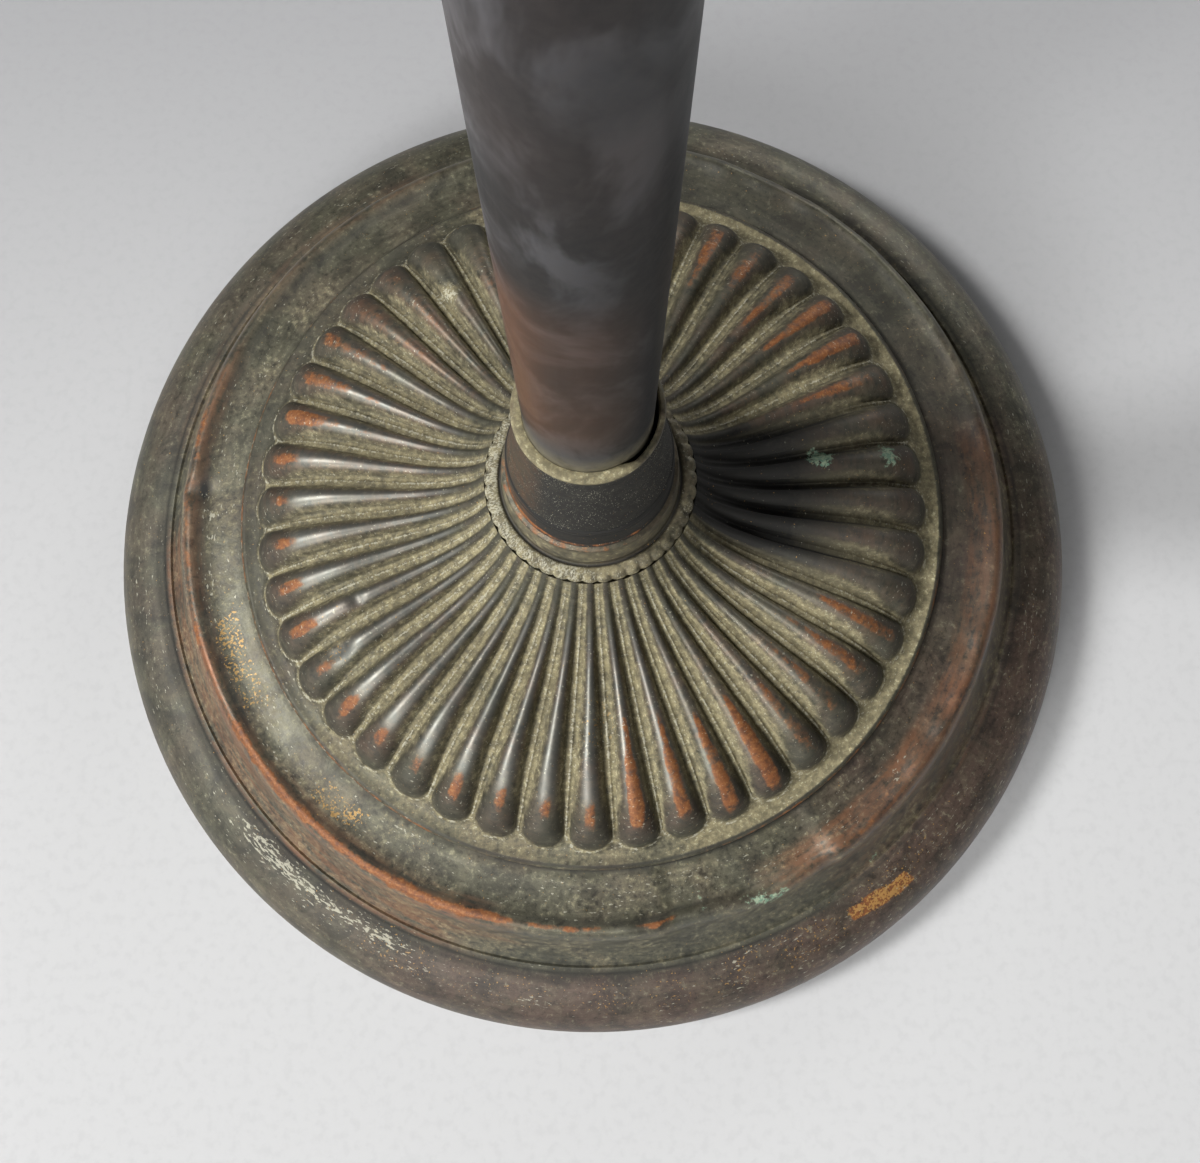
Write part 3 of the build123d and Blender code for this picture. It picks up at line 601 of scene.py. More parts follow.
def shell_traits(radius, height, azimuth, place):
    """Where the shell is warm, polished, worn, russet, flecked, brassy, green, dusty or sooty, and where shade is
    painted on it.
    """
    r = radius / BASE_MM
    a = azimuth
    wander = rough(place, 9.0, 21)
    flutter = rough(place, 3.2, 22)
    crumbs = rough(place, 1.5, 23)
    outside = ramp(height, 2.0, 3.0) * ramp(radius, 87.0, 89.0)
    roll = ramp(r, 0.872, 0.885)
    on_step = within(r, 0.800, 0.864, 0.008)

    ridge_line = bell(r, 0.788 + 0.006 * wander + 0.004 * flutter, 0.0105 + 0.004 * flutter)
    worn = ridge_line * within(a, -106.0, -58.0, 8.0) * (0.46 + 0.20 * flutter + 0.15 * crumbs)
    worn += ridge_line * within(a, -58.0, -16.0, 4.0) * (0.98 + 0.20 * flutter + 0.2 * crumbs)
    worn += bell(r, 0.783 + 0.004 * flutter, 0.007) * within(a, -16.0, 8.0, 4.0) * (0.58 + 0.5 * flutter)
    scrape = within(r - 0.0016 * (a - 36.0) + 0.004 * flutter, 0.912, 0.936, 0.008) * within(a, 32.0, 39.5, 1.4)
    traits = dict(
        worn=worn + scrape * (1.05 + 0.30 * flutter), russet=0.0, green=0.0,
        fleck=roll * (r < 0.99) * (1.0 - within(a, -104.0, -8.0, 14.0)) * (0.15 + 0.10 * wander),
        brassy=scrape * (0.42 + 0.3 * crumbs), dust=on_step * (0.30 + 0.10 * wander),
        soot=bell(r, 0.8735, 0.0026) * (0.75 + 0.2 * wander) + within(height, 0.0, 5.0, 2.0) * 0.5,
        warm=roll * (0.10 + 0.75 * within(a, -12.0, 80.0, 26.0)) + (1 - roll) * 0.6 * within(a, 40.0, 100.0, 14.0)
        + 0.12 * wander,
        polish=on_step * 0.35 * within(a, -120.0, 60.0, 30.0))
    add_marks(traits, SHELL_MARKS, r, a, wander, flutter, crumbs)
    return {key: value * outside for key, value in traits.items()}


base = lathe("base_cover", thickened(shell_line(), 1.2, every=4), 720, shell_shape, shell_traits)
settle(base, aged_bronze("base_patina", blotches=0.5), "base_patina", "base_shell")


# ---------------------------------------------------------------- gadrooned disc
DISC_RADIUS = 96.8
VALLEY = [(97.0, 53.6), (92.5, 54.0), (86.0, 58.4), (80.0, 62.4), (72.0, 65.8), (62.0, 67.6), (52.0, 68.8),
          (43.0, 70.8), (35.0, 75.4), (30.0, 80.8), (26.7, 86.4), (22.0, 92.0)]
RISE = [(96.0, 3.6), (90.0, 5.0), (84.0, 4.8), (76.0, 4.0), (62.0, 3.1), (48.0, 2.6), (37.0, 1.9), (28.0, 1.0)]
GADROON_WIDTH = [(96.0, 0.93), (90.0, 0.92), (84.0, 0.86), (76.0, 0.75), (66.0, 0.66), (56.0, 0.60), (44.0, 0.54),
                 (27.0, 0.50)]
END_START = 87.6                                         # radius where a gadroon starts to round off
END_SHARPNESS = 1.45
TOP_MARK = 2000.0                                        # outline height that stands for the embossed top face
FILLET_HEIGHT = 0.45
FILLET_WIDTH = 0.34


def across_gadroon(radius, azimuth):
    """Signed distance from the nearest gadroon's middle line, half the pitch there, and the gadroon's number."""
    number = np.round((azimuth - FLUTE_START) / PITCH)
    off = np.radians(azimuth - FLUTE_START - number * PITCH)
    return radius * off, radius * math.radians(PITCH) / 2, number


def disc_shape(radius, height, azimuth):
    """Embossed gadroons with round ends, each framed by a thin raised fillet, hammered up slightly by hand."""
    x, half, number = across_gadroon(radius, azimuth)
    top = height == TOP_MARK
    each = lattice(number.astype(np.int64) + 500, 7, 3, 1) - 0.5
    other = lattice(number.astype(np.int64) + 500, 2, 9, 5) - 0.5
    turn = np.radians(azimuth)
    around = np.stack([radius * np.sin(turn), -radius * np.cos(turn), 0 * radius], -1)
    drift = (each * 0.3 * bell(radius, 86.0, 12.0) + rough(around, 14.0, 31) * 0.15) * ramp(radius, 40.0, 70.0)
    beyond = np.maximum(radius - END_START - other * 0.5, 0.0) * END_SHARPNESS
    reach = np.hypot(x, beyond) / half
    reach_swollen = np.hypot(x - drift, beyond) / half
    width = smooth_line(GADROON_WIDTH, radius)
    swell = np.maximum(1.0 - (reach_swollen / width) ** 2, 0.0) ** 0.72
    rise = smooth_line(RISE, radius) * (1.0 + 0.14 * each)
    knock = bell(apart(azimuth, -60.5), 0, 2.6) * bell(radius / BASE_MM, 0.545, 0.030)
    knock = knock + bell(apart(azimuth, -67.8), 0, 2.2) * bell(radius / BASE_MM, 0.468, 0.012) * 0.7
    rise = rise * (1.0 - 0.55 * knock)
    wax = bell(apart(azimuth, -148.0), 0, 2.6) * bell(radius / BASE_MM, 0.483, 0.018) * 0.5
    fillet = FILLET_HEIGHT * bell(reach, 1.0, FILLET_WIDTH / half) * ramp(radius, 24.0, 34.0)
    channel = -0.08 * within(reach, width + 0.05, 0.90, 0.06) * ramp(radius, 28.0, 50.0)
    edge = -0.9 * ramp(radius, DISC_RADIUS - 1.3, DISC_RADIUS) ** 2
    fillet = fillet * (0.5 + 0.5 * ramp(radius, 68.0, 84.0))
    surface = smooth_line(VALLEY, radius) + rise * swell + fillet + channel + edge + wax
    surface = surface + rough(around, 8.0, 33) * 0.12
    return radius, np.where(top, surface, height)


DISC_MARKS = (                                           # trait, radii, azimuths, strength
    ("dust", (0.483, 0.018), (-148.0, 2.6), 1.2),
    ("fleck", (0.36, 0.46, 0.03), (0.0, 7.0), 0.16),
    ("fleck", (0.483, 0.016), (-148.0, 2.4), 0.55),
    ("brassy", (0.38, 0.45, 0.02), (0.0, 5.0), 0.26),
    ("brassy", (0.545, 0.02), (-60.5, 2.0), 0.42),
    ("green", (0.43, 0.032), (98.0, 3.4), 0.85),
    ("green", (0.565, 0.026), (97.0, 3.0), 0.75),
    ("green", (0.60, 0.02), (62.0, 3.0), 0.30),
)


def disc_traits(radius, height, azimuth, place):
    """Worn crests, dusty channels, bright fillets and dark round ends, plus painted shade on the flanks, the left
    margin and in the pole's shadow, and a painted highlight and sheen at the left-front.
    """
    x, half, number = across_gadroon(radius, azimuth)
    top = height == TOP_MARK
    r = radius / BASE_MM
    a = azimuth
    key = number.astype(np.int64) + 500
    beyond = np.maximum(radius - END_START, 0.0) * END_SHARPNESS
    reach = np.hypot(x, beyond) / half
    width = smooth_line(GADROON_WIDTH, radius)
    crest = np.clip(1.0 - (reach / width) ** 2, 0.0, 1.0)
    chance = lattice(key, 1, 1, 11)
    again = lattice(key, 5, 1, 12)
    wander = rough(place, 7.0, 41)
    flutter = rough(place, 2.6, 42)
    middle = FLUTE_START + number * PITCH

    across = np.abs(x / half - 0.05)
    tip = bell(r, 0.577 + 0.012 * (again - 0.5), 0.020 + 0.012 * chance)
    worn = tip * within(middle, -110.0, 4.0, 6.0) * (0.66 + 0.34 * chance) * (1.0 - ramp(across, 0.14, 0.38))
    fading = 0.5 + 0.5 * ramp(r, 0.44, 0.53)
    streak = within(r + 0.04 * (chance - 0.5), 0.45, 0.585, 0.05) * (1.0 - ramp(across / fading, 0.20, 0.50))
    strength = within(middle, 4.0, 34.0, 4.0) * 0.90 + within(middle, 36.0, 68.0, 3.0) * 0.60
    strength = strength + within(middle, 112.0, 157.0, 4.0) * (0.66 + 0.24 * bell(middle, 126.0, 9.0))
    strength = strength + within(middle, -160.0, -106.0, 4.0) * (0.34 + 0.36 * bell(middle, -116.0, 12.0))
    worn = (worn + streak * strength * (0.82 + 0.3 * again)) * (1.0 + 0.3 * wander + 0.2 * flutter)
    right = within(a, 25.0, 75.0, 12.0)
    # Copper wear along the disc's raised edge, stronger on the right, with a painted highlight added at the
    # left-front.
    worn += bell(radius, DISC_RADIUS - 0.15, 0.35) * (
        0.35 + 0.40 * within(a, -112.0, -27.0, 8.0) + 0.35 * right + 0.25 * flutter)

    end = ramp(r, 0.545, 0.60)
    dust = (1.0 - ramp(crest, 0.05, 0.95 - 0.35 * end)) * (0.80 + 0.20 * right)
    dust = dust * (1.0 - 0.60 * end * ramp(crest, 0.0, 0.12))
    margin = within(radius, 90.0, 95.4, 0.4) * ramp(reach, 0.94, 1.06)
    # shaded marks painted shade on the margin at the left: it takes dust off there and darkens it.
    shaded = within(a, -150.0, -62.0, 12.0)
    bright = within(a, 20.0, 165.0, 12.0)
    dust = dust * (1.0 - margin * (0.40 - 0.40 * bright + 0.30 * shaded)) * (1.0 - ramp(radius, 95.3, 95.9))
    dust = dust + margin * bright * 0.3 * (radius < 95.4)
    dust = dust * (0.9 + 0.25 * wander)
    fleck = bell(reach, 1.0, FILLET_WIDTH / half) * (0.40 + 0.20 * flutter)
    fleck += within(r, 0.2, 0.66, 0.02) * (0.15 + 0.08 * wander)
    russet = crest * within(r, 0.30, 0.60, 0.05) * (0.16 + 0.30 * chance * (np.abs(a) > 90.0) + 0.25 * wander)
    # Painted highlight: a pale line on the disc's edge at the left-front.
    fleck += bell(radius, DISC_RADIUS - 0.1, 0.35) * within(a, -112.0, -27.0, 8.0) * (0.40 + 0.2 * flutter)
    soot = ramp(r, 0.55, 0.60) * ramp(crest, 0.02, 0.4) * 0.50 + margin * shaded * 0.35
    # Painted shade: a dark line along each gadroon's +x flank, the side turned away from the light at the front.
    soot += bell(reach, width - 0.02, 0.07) * (r < 0.64) * (0.06 + 0.50 * ramp(x / half, 0.0, 0.4))
    soot += within(radius, 26.0, 42.0, 6.0) * ramp(crest, 0.3, 0.8) * 0.45
    # Painted shadow of the pole and collar: a dark wedge on the gadroons to the right of the collar, with fewer pale
    # flecks in it.
    shadow = within(apart(a, 92.0), -19.0, 15.0, 10.0) * (1.0 - ramp(r, 0.30, 0.66))
    soot += shadow * 1.15
    fleck = fleck * (1.0 - 0.8 * np.clip(2.0 * shadow, 0.0, 1.0))
    soot += within(radius, 95.7, 96.3, 0.3) * (0.35 + 0.3 * within(a, -20.0, 30.0, 10.0))
    # Polish on the crests, much stronger at the left-front, where it is a painted sheen toward the light.
    polish = ramp(crest, 0.55, 0.95) * within(r, 0.28, 0.54, 0.04) * (0.25 + 0.75 * within(a, -116.0, 12.0, 16.0))
    traits = dict(worn=worn, russet=russet, fleck=fleck, brassy=0.0, green=0.0, dust=dust, soot=soot,
                  polish=polish, warm=0.10 + 0.2 * wander)
    add_marks(traits, DISC_MARKS, r, a)
    return {key: np.where(top, value, 0.0) for key, value in traits.items()}


def disc_outline():
    """Radii of the top face, marked by TOP_MARK as their height, then the plain underside."""
    outer = np.arange(DISC_RADIUS, 89.9, -0.33)
    shoulder = np.arange(89.6, 80.0, -0.62)
    middle = np.arange(79.6, 35.0, -1.15)
    throat = np.arange(34.6, 26.5, -0.6)
    top = [(radius, TOP_MARK) for radius in np.concatenate([outer, shoulder, middle, throat])]
    under = [(25.2, 84.0)] + [(radius, float(smooth_line(VALLEY, radius)) - 2.2) for radius in range(30, 86, 8)]
    return top + under + [(88.6, 50.6), (DISC_RADIUS - 0.8, 50.5), (DISC_RADIUS, 50.9)]


def disc_azimuths():
    """Twenty columns for each gadroon, closest together at the fillet between neighbours."""
    within_one = [0.0, 0.18, 0.34, 0.48, 0.60, 0.70, 0.79, 0.87, 0.935, 0.975]
    half = [-v for v in within_one[:0:-1]] + within_one + [1.0]
    return np.array([FLUTE_START + (k + 0.5 * u) * PITCH for k in range(-FLUTES // 2, FLUTES // 2) for u in half])


disc = lathe("gadrooned_disc", disc_outline(), disc_azimuths(), disc_shape, disc_traits, sharp=60.0)
settle(disc, aged_bronze("disc_patina", metallic=0.5, gloss=0.49, relief=0.05, blotches=0.2), "base_patina",
       "fluted_disc")


# ---------------------------------------------------------------- turned pieces of the pole
def turned_traits(worn=(), sooty=(), dusty=(), russet=0.15, wear=0.62, seed=0, axis="height"):
    """Traits of a turned piece. Each list holds (height, width) pairs in millimetres, or radii if axis says so."""
    def traits(radius, height, azimuth, place):
        along = height if axis == "height" else radius
        wander = rough(place, 8.0, seed + 51)
        flutter = rough(place, 2.4, seed + 52)
        total = {"worn": 0.0, "soot": 0.0, "dust": 0.0}
        for key, spots in (("worn", worn), ("soot", sooty), ("dust", dusty)):
            for centre, width in spots:
                total[key] = total[key] + bell(along, centre, width)
        nothing = np.zeros_like(along)
        return dict(
            worn=nothing + total["worn"] * (wear + 0.25 * wander), soot=nothing + total["soot"] * 0.8,
            dust=nothing + total["dust"] * (0.75 + 0.25 * flutter), russet=nothing + russet * (0.8 + wander),
            fleck=nothing + 0.12 + 0.14 * wander)
    return traits


def neck_shape(radius, height, azimuth):
    """Lobes on the ring's outer edge, one for each gadroon."""
    bite = np.abs(np.cos(np.radians((azimuth - FLUTE_START) / PITCH * 180.0)))
    edge = ramp(radius, 24.2, 26.2) * (height < 90.0)
    return radius - 0.55 * edge * (1.0 - bite) ** 1.4, height - 0.3 * edge * (1.0 - bite)


def neck_traits(radius, height, azimuth, place):
    """Dust on the ledge and the sleeve, dark creases, and a bright rim at the front and left."""
    wander = rough(place, 4.0, 61)
    flutter = rough(place, 1.6, 62)
    r = radius
    ledge = within(r, 23.2, 26.8, 0.3) * (height < 90.5)
    front = 0.75 + 0.25 * np.cos(np.radians(azimuth + 60.0))
    left = within(azimuth, -140.0, -15.0, 25.0)
    sleeve = within(height, 90.4, 98.9, 0.5)
    dust = (ledge * 0.72 + sleeve * 0.62) * front
    soot = bell(r, 22.7, 0.45) * (height < 90.5) + bell(height, 99.55, 0.25) * (radius < 20.9) * 0.7
    worn = bell(r, 26.2, 0.5) * (height < 89.0) * (0.15 + 0.4 * flutter)
    rim = bell(height, 99.4, 0.32) * (radius > 20.9)
    worn += rim * within(azimuth, -112.0, 20.0, 12.0) * (0.66 + 0.3 * flutter)
    fleck = ledge * (0.20 + 0.30 * left + 0.2 * flutter) + rim * 0.25 * left
    return dict(dust=dust * (0.85 + 0.3 * wander), soot=soot, worn=worn, fleck=fleck, russet=0.1 + 0 * r,
                polish=sleeve * 0.3)


def make_neck_ring():
    line = [(11.2, 86.7), (26.0, 86.7)] + arc((26.0, 87.4), 0.7, -80, 0, 6) + arc((25.2, 87.5), 1.5, 20, 85, 7)
    line += flowing([(24.6, 89.3), (23.4, 89.3), (22.7, 88.8), (22.2, 89.1)], 12)
    line += dense([(22.1, 89.8), (21.9, 93.6), (21.5, 99.2)], 1.2) + [(21.3, 99.6), (11.2, 99.6)]
    ring = lathe("neck_cover_ring", line, 44 * 12, neck_shape, neck_traits, sharp=70.0)
    settle(ring, aged_bronze("neck_patina", metallic=0.5, gloss=0.45), "base_patina", "neck_ring")


def collar_traits(radius, height, azimuth, place):
    """Tan dust packed on the lip at the front and left, a copper foot edge, a russet left flank, dark grooves, and
    painted shade.
    """
    wander = rough(place, 7.0, 71)
    flutter = rough(place, 2.0, 72)
    a = azimuth
    outer = ramp(radius, 15.4, 16.0)
    lip = within(height, 141.6, 143.2, 0.5)
    lip_dust = lip * (0.25 + 0.75 * within(apart(a, -40.0), -72.0, 74.0, 8.0))
    dust = lip_dust + bell(height, 138.9, 0.9) * 0.45 + bell(height, 109.1, 0.35) * 0.4
    foot = bell(height, 100.9, 0.45) * within(apart(a, -45.0), -75.0, 75.0, 14.0)
    worn = foot * 0.75 + within(height, 101.5, 107.5, 1.5) * within(apart(a, -62.0), -24.0, 26.0, 12.0) * (
        0.22 + 0.25 * flutter)
    worn += bell(a, -88.0, 12.0) * within(height, 112.0, 141.0, 3.0) * (0.22 + 0.2 * wander)
    russet = within(apart(a, -80.0), -40.0, 34.0, 16.0) * outer * (0.55 + 0.3 * wander) + 0.12
    # Dark grooves at 109 and 111.5 mm, and painted shade inside the lip and bore, where the gap to the pole is in
    # shadow.
    soot = bell(height, 109.0, 0.55) + bell(height, 111.5, 0.45) + (1 - outer) * within(height, 120.0, 141.0, 1.0)
    # The outer flank darkened all round, with painted shade added on the right, away from the light.
    shaded = 0.60 + 0.45 * within(apart(a, 50.0), -80.0, 90.0, 30.0)
    soot = soot + outer * within(height, 99.0, 140.5, 0.8) * shaded
    fleck = within(height, 112.0, 141.0, 2.0) * (0.20 + 0.14 * wander) + foot * 0.30
    return dict(dust=dust * (0.9 + 0.3 * wander), worn=worn, russet=russet, soot=soot, fleck=fleck)


def collar_shape(radius, height, azimuth):
    """Wax and dust have closed the gap inside the lip, except on the right where the pole stands off it."""
    open_side = within(apart(azimuth, 98.0), -58.0, 48.0, 14.0)
    inside = (radius < 15.6) * (height > 134.0) * (1.0 - open_side)
    return radius - inside * np.maximum(radius - 14.06, 0.0) * ramp(15.6 - radius, 0.0, 0.3), height


def make_collar():
    line = dense([(13.2, 99.8), (20.4, 99.8)], 2.0)[:-1] + arc((20.1, 100.3), 0.4, -60, 60, 5)
    line += dense([(20.1, 101.2), (19.9, 108.4)], 1.0) + [(19.75, 108.8), (19.6, 109.1), (19.95, 109.5)]
    line += [(19.9, 110.3), (19.65, 111.1), (19.25, 111.4), (19.4, 111.8)]
    line += flowing([(19.25, 112.6), (18.3, 119.0), (17.4, 127.0), (16.8, 134.0), (16.4, 138.4)], 26)
    line += [(16.15, 139.2), (16.15, 139.7)]
    line += arc((15.4, 141.9), 1.05, -42, 90, 9) + arc((15.5, 142.4), 0.5, 110, 180, 4)
    line += [(15.0, 134.2), (POLE_BORE, 133.2), (POLE_BORE, 112.2), (13.2, 112.0)]
    collar = lathe("pole_foot_collar", line, 240, collar_shape, collar_traits, sharp=50.0)
    settle(collar, aged_bronze("collar_bronze", metallic=0.55, gloss=0.38), "turned_bronze", "pole_collar")


def tube_bronze(name):
    """Drawn tube with a thin matt patina: cloudy grey-brown blotches, fine draw lines and a rubbed sheen."""
    g = Graph(name)
    clouds = g.noise(8.5, detail=4.0, roughness=0.55, distortion=0.5, at=g.scaled(1.0, 1.0, 0.75))
    stains = g.noise(46.0, detail=3.0, at=g.scaled(1.0, 1.0, 0.8))
    grain = g.noise(0.9, detail=3.0)
    lines = g.noise(0.7, detail=2.0, at=g.scaled(1.0, 1.0, 0.03))
    contrast = g.blend(g.attribute("cloudy"), 0.28, 1.0)
    cloudy = g.math("MULTIPLY_ADD", g.math("SUBTRACT", g.step(clouds, 0.40, 0.60), 0.5), contrast, 0.5)
    g.colour = g.mix(cloudy, srgb(24, 24, 26), srgb(80, 80, 84))
    g.lay(g.step(stains, 0.50, 0.62, 0.0, 0.6), srgb(30, 29, 30))
    g.lay(g.times(g.attribute("russet"), g.step(clouds, 0.30, 0.60, 0.6, 1.0)), srgb(106, 70, 48))
    # Near-black for smudges, and for painted shade on the lower pole's right flank.
    g.lay(g.attribute("soot"), srgb(14, 14, 15))
    g.lay(g.step(grain, 0.35, 0.65, 0.0, 0.16), srgb(64, 58, 54))
    dust = g.times(g.attribute("dust"), g.step(grain, 0.3, 0.6, 0.6, 1.0))
    g.lay(dust, DUST)
    metallic = g.blend(g.math("MAXIMUM", dust, g.attribute("soot")), 0.5, 0.0)
    dull = g.math("ADD", g.blend(cloudy, 0.62, 0.42), g.times(lines, 0.08))
    dull = g.blend(g.attribute("soot"), dull, 0.95)
    normal = g.bump(g.math("MULTIPLY_ADD", lines, 0.6, g.times(grain, 0.4)), 0.02)
    return g.finish(metallic=metallic, roughness=dull, normal=normal, coat=0.22, coat_roughness=0.24)


POLE_SMUDGES_AND_SHADE = (                                         # trait, heights, azimuths, strength, wander
    ("soot", (284.0, 9.0), (20.0, 46.0), 0.95, 0.4),
    ("soot", (306.0, 8.0), (8.0, 26.0), 0.55),
    # Painted shade: the right flank, and more softly the front-right, from 100 mm up.
    ("soot", (100.0, 275.0, 12.0), (66.0, 22.0), 0.95),
    ("soot", (100.0, 250.0, 20.0), (24.0, 44.0), 0.45),
    ("soot", (236.0, 7.0), (-14.0, 50.0), 0.5, 0.4),
)


def lower_pole_traits(radius, height, azimuth, place):
    """Russet handling marks on the lower left, painted shade on the right flank and front-right, smudges, and clouds
    that fade out higher up.
    """
    wander = rough(place, 16.0, 81)
    a = azimuth
    handled = within(height, 140.0, 222.0, 4.0)
    russet = handled * (bell(apart(a, -62.0), 0, 32.0) * 0.85 + 0.10) + 0.06 + 0.12 * wander
    russet = (russet + 0.30 * handled * bell(apart(a, 4.0), 0, 26.0)) * ramp(height, 150.0, 166.0)
    traits = dict(russet=np.clip(russet, 0, 1), soot=bell(height, 140.0, 3.0) * 0.5,
                  dust=bell(height, 143.5, 1.6) * 0.5, cloudy=1.0 - ramp(height, 300.0, 420.0))
    add_marks(traits, POLE_SMUDGES_AND_SHADE, height, a, wander)
    return traits


TUBE_WALL = 1.4


def make_tubes():
    for name, node, traits in (("lower_tube", "lower_pole", lower_pole_traits),
                               ("upper_tube", "upper_pole", turned_traits(russet=0.12, wear=0.0, seed=5))):
        low, high = (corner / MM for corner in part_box(node))
        outer, inner = high.x, high.x - TUBE_WALL
        line = dense([(inner, low.z), (outer, low.z), (outer, high.z), (inner, high.z)], 8.0) + [(inner, low.z)]
        tube = lathe(name, line[:-1], 96, None, traits)
        settle(tube, tube_bronze(name + "_bronze"), "pole_bronze", node)


def make_joint_ring():
    """Bead over the screwed joint, with a fillet each side, a touch lighter where hands grip it."""
    low, high = (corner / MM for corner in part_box("joint_ring"))
    middle = (low.z + high.z) / 2
    half = [(POLE_BORE, 18.0), (15.2, 18.0)] + arc((15.2, 17.1), 0.8, 80, -60, 7) + [(15.35, 15.6), (15.3, 14.6)]
    half += flowing([(15.3, 13.6), (15.15, 10.4), (15.3, 7.0)], 7) + arc((15.0, 0.0), 3.6, 56, 0, 12)
    line = [(r, middle + z) for r, z in half] + [(r, middle - z) for r, z in half[-2::-1]]
    marks = turned_traits(worn=[(middle, 1.4), (middle + 17.2, 0.5), (middle - 17.2, 0.5)],
                          sooty=[(middle + 15.0, 0.6), (middle - 15.0, 0.6),
                                 (middle + 4.6, 0.7), (middle - 4.6, 0.7)],
                          dusty=[(middle + 17.9, 0.4), (middle + 6.0, 0.8)], seed=11)
    ring = lathe("joint_bead", line, 192, None, marks, sharp=50.0)
    settle(ring, aged_bronze("joint_bronze", metallic=0.65, gloss=0.33), "turned_bronze", "joint_ring")


def make_top_collar():
    """Trumpet-shaped collar with a groove, closing the top of the pole."""
    low, high = (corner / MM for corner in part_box("top_collar"))
    foot = low.z
    line = [(POLE_BORE, foot)] + arc((15.3, foot + 1.0), 1.0, -90, 40, 8) + [(16.0, foot + 2.8), (15.8, foot + 3.8)]
    line += flowing([(15.9, foot + 4.6), (16.8, foot + 16.0), (18.8, foot + 27.0)], 18)
    line += [(18.45, foot + 27.6), (18.5, foot + 28.0), (19.0, foot + 28.5)]
    line += flowing([(19.2, foot + 30.0), (19.7, foot + 35.0), (20.4, foot + 37.6)], 8)
    line += arc((20.2, foot + 38.9), 0.8, -60, 70, 6)
    line += [(20.5, high.z), (PIPE_BORE, high.z), (PIPE_BORE, foot + 18.0), (POLE_BORE, foot + 18.0)]
    marks = turned_traits(worn=[(foot + 38.9, 0.8), (foot + 1.0, 0.7)], sooty=[(foot + 27.9, 0.6), (foot + 3.4, 0.6)],
                          dusty=[(foot + 36.6, 1.0)], seed=13)
    collar = lathe("pole_top_collar", line, 192, None, marks, sharp=50.0)
    settle(collar, aged_bronze("top_collar_bronze", metallic=0.65, gloss=0.33), "turned_bronze", "top_collar")


make_neck_ring()
make_collar()
make_tubes()
make_joint_ring()
make_top_collar()


# ---------------------------------------------------------------- switch, fitter and bowl
def make_switch_cup():
    """Spun cup: a rounded belly with a raised band, seen all round and rubbed bright on the band."""
    low, high = (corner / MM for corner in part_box("switch_cup"))
    foot, top, belly = low.z, high.z, high.x
    middle = foot + 26.0
    line = [(PIPE_BORE, foot), (20.6, foot)] + flowing(
        [(21.6, foot + 0.3), (26.2, foot + 5.0), (29.8, foot + 11.6), (belly - 0.4, middle - 7.0)], 20)
    line += [(belly - 0.4, middle - 6.4), (belly, middle - 6.0)]
    line += dense([(belly, middle - 5.6), (belly, middle + 5.6)], 1.6)
    line += [(belly, middle + 6.0), (belly - 0.4, middle + 6.4)]
    line += flowing([(belly - 0.5, middle + 7.0), (29.9, top - 9.6), (28.3, top - 4.0)], 12)
    line += [(28.0, top - 3.2), (28.0, top - 0.1), (26.8, top - 0.1), (26.8, top - 4.2)]
    line += flowing([(27.2, top - 5.4), (30.7, middle + 5.0), (30.8, middle - 5.0), (27.4, foot + 8.0),
                     (21.4, foot + 1.2)], 16)
    line += [(PIPE_BORE, foot + 1.2)]
    marks = turned_traits(worn=[(middle + 6.0, 0.5), (middle - 6.0, 0.5)],
                          sooty=[(middle + 6.9, 0.5), (middle - 6.9, 0.5)], dusty=[(top - 3.4, 0.8)], seed=17)
    cup = lathe("switch_cup_shell", line, 192, None, marks, sharp=50.0)
    settle(cup, aged_bronze("cup_bronze", metallic=0.6, gloss=0.36), "bowl_bronze", "switch_cup")


FITTER_LOBES = 24


def fitter_shape(underside_top):
    """Gadroons swelling from the fitter's face below underside_top, narrow towards the cup."""
    def shape(radius, height, azimuth):
        pitch = 360.0 / FITTER_LOBES
        off = (azimuth + pitch / 2) % pitch - pitch / 2
        half = radius * math.radians(pitch) / 2
        beyond = np.maximum(radius - 52.5, 0.0) * 1.1
        reach = np.hypot(radius * np.radians(off), beyond) / half
        swell = np.maximum(1.0 - (reach / 0.84) ** 2, 0.0) ** 0.7
        underside = within(radius, 32.5, 58.0, 1.5) * (height < underside_top)
        return radius, height - 2.6 * swell * underside * ramp(radius, 31.0, 40.0)
    return shape


def make_fitter():
    """Dished plate under the bowl, gadrooned below and plain above."""
    low, high = (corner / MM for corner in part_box("bowl_fitter"))
    foot, rim = low.z, high.x
    line = [(PIPE_BORE, foot), (30.2, foot)] + arc((30.3, foot + 1.6), 1.3, -80, 80, 9)
    line += [(30.6, foot + 3.3), (31.2, foot + 4.9)]
    line += dense([(33.0, foot + 6.0), (44.0, foot + 11.2), (52.0, foot + 14.6), (60.2, foot + 18.4)], 0.7)
    line += arc((rim - 1.5, foot + 20.1), 1.5, -70, 80, 9)
    line += [(46.0, foot + 18.25), (38.0, foot + 18.0), (PIPE_BORE, foot + 18.0)]
    marks = turned_traits(worn=[(rim - 0.4, 1.0), (51.0, 3.5)], sooty=[(31.4, 0.8), (60.4, 0.8)], dusty=[(34.5, 1.6)],
                          wear=0.42, seed=19, axis="radius")
    fitter = lathe("gadrooned_fitter", line, FITTER_LOBES * 20, fitter_shape(foot + 17.6), marks, sharp=60.0)
    settle(fitter, aged_bronze("fitter_bronze", metallic=0.6, gloss=0.36), "bowl_bronze", "bowl_fitter")


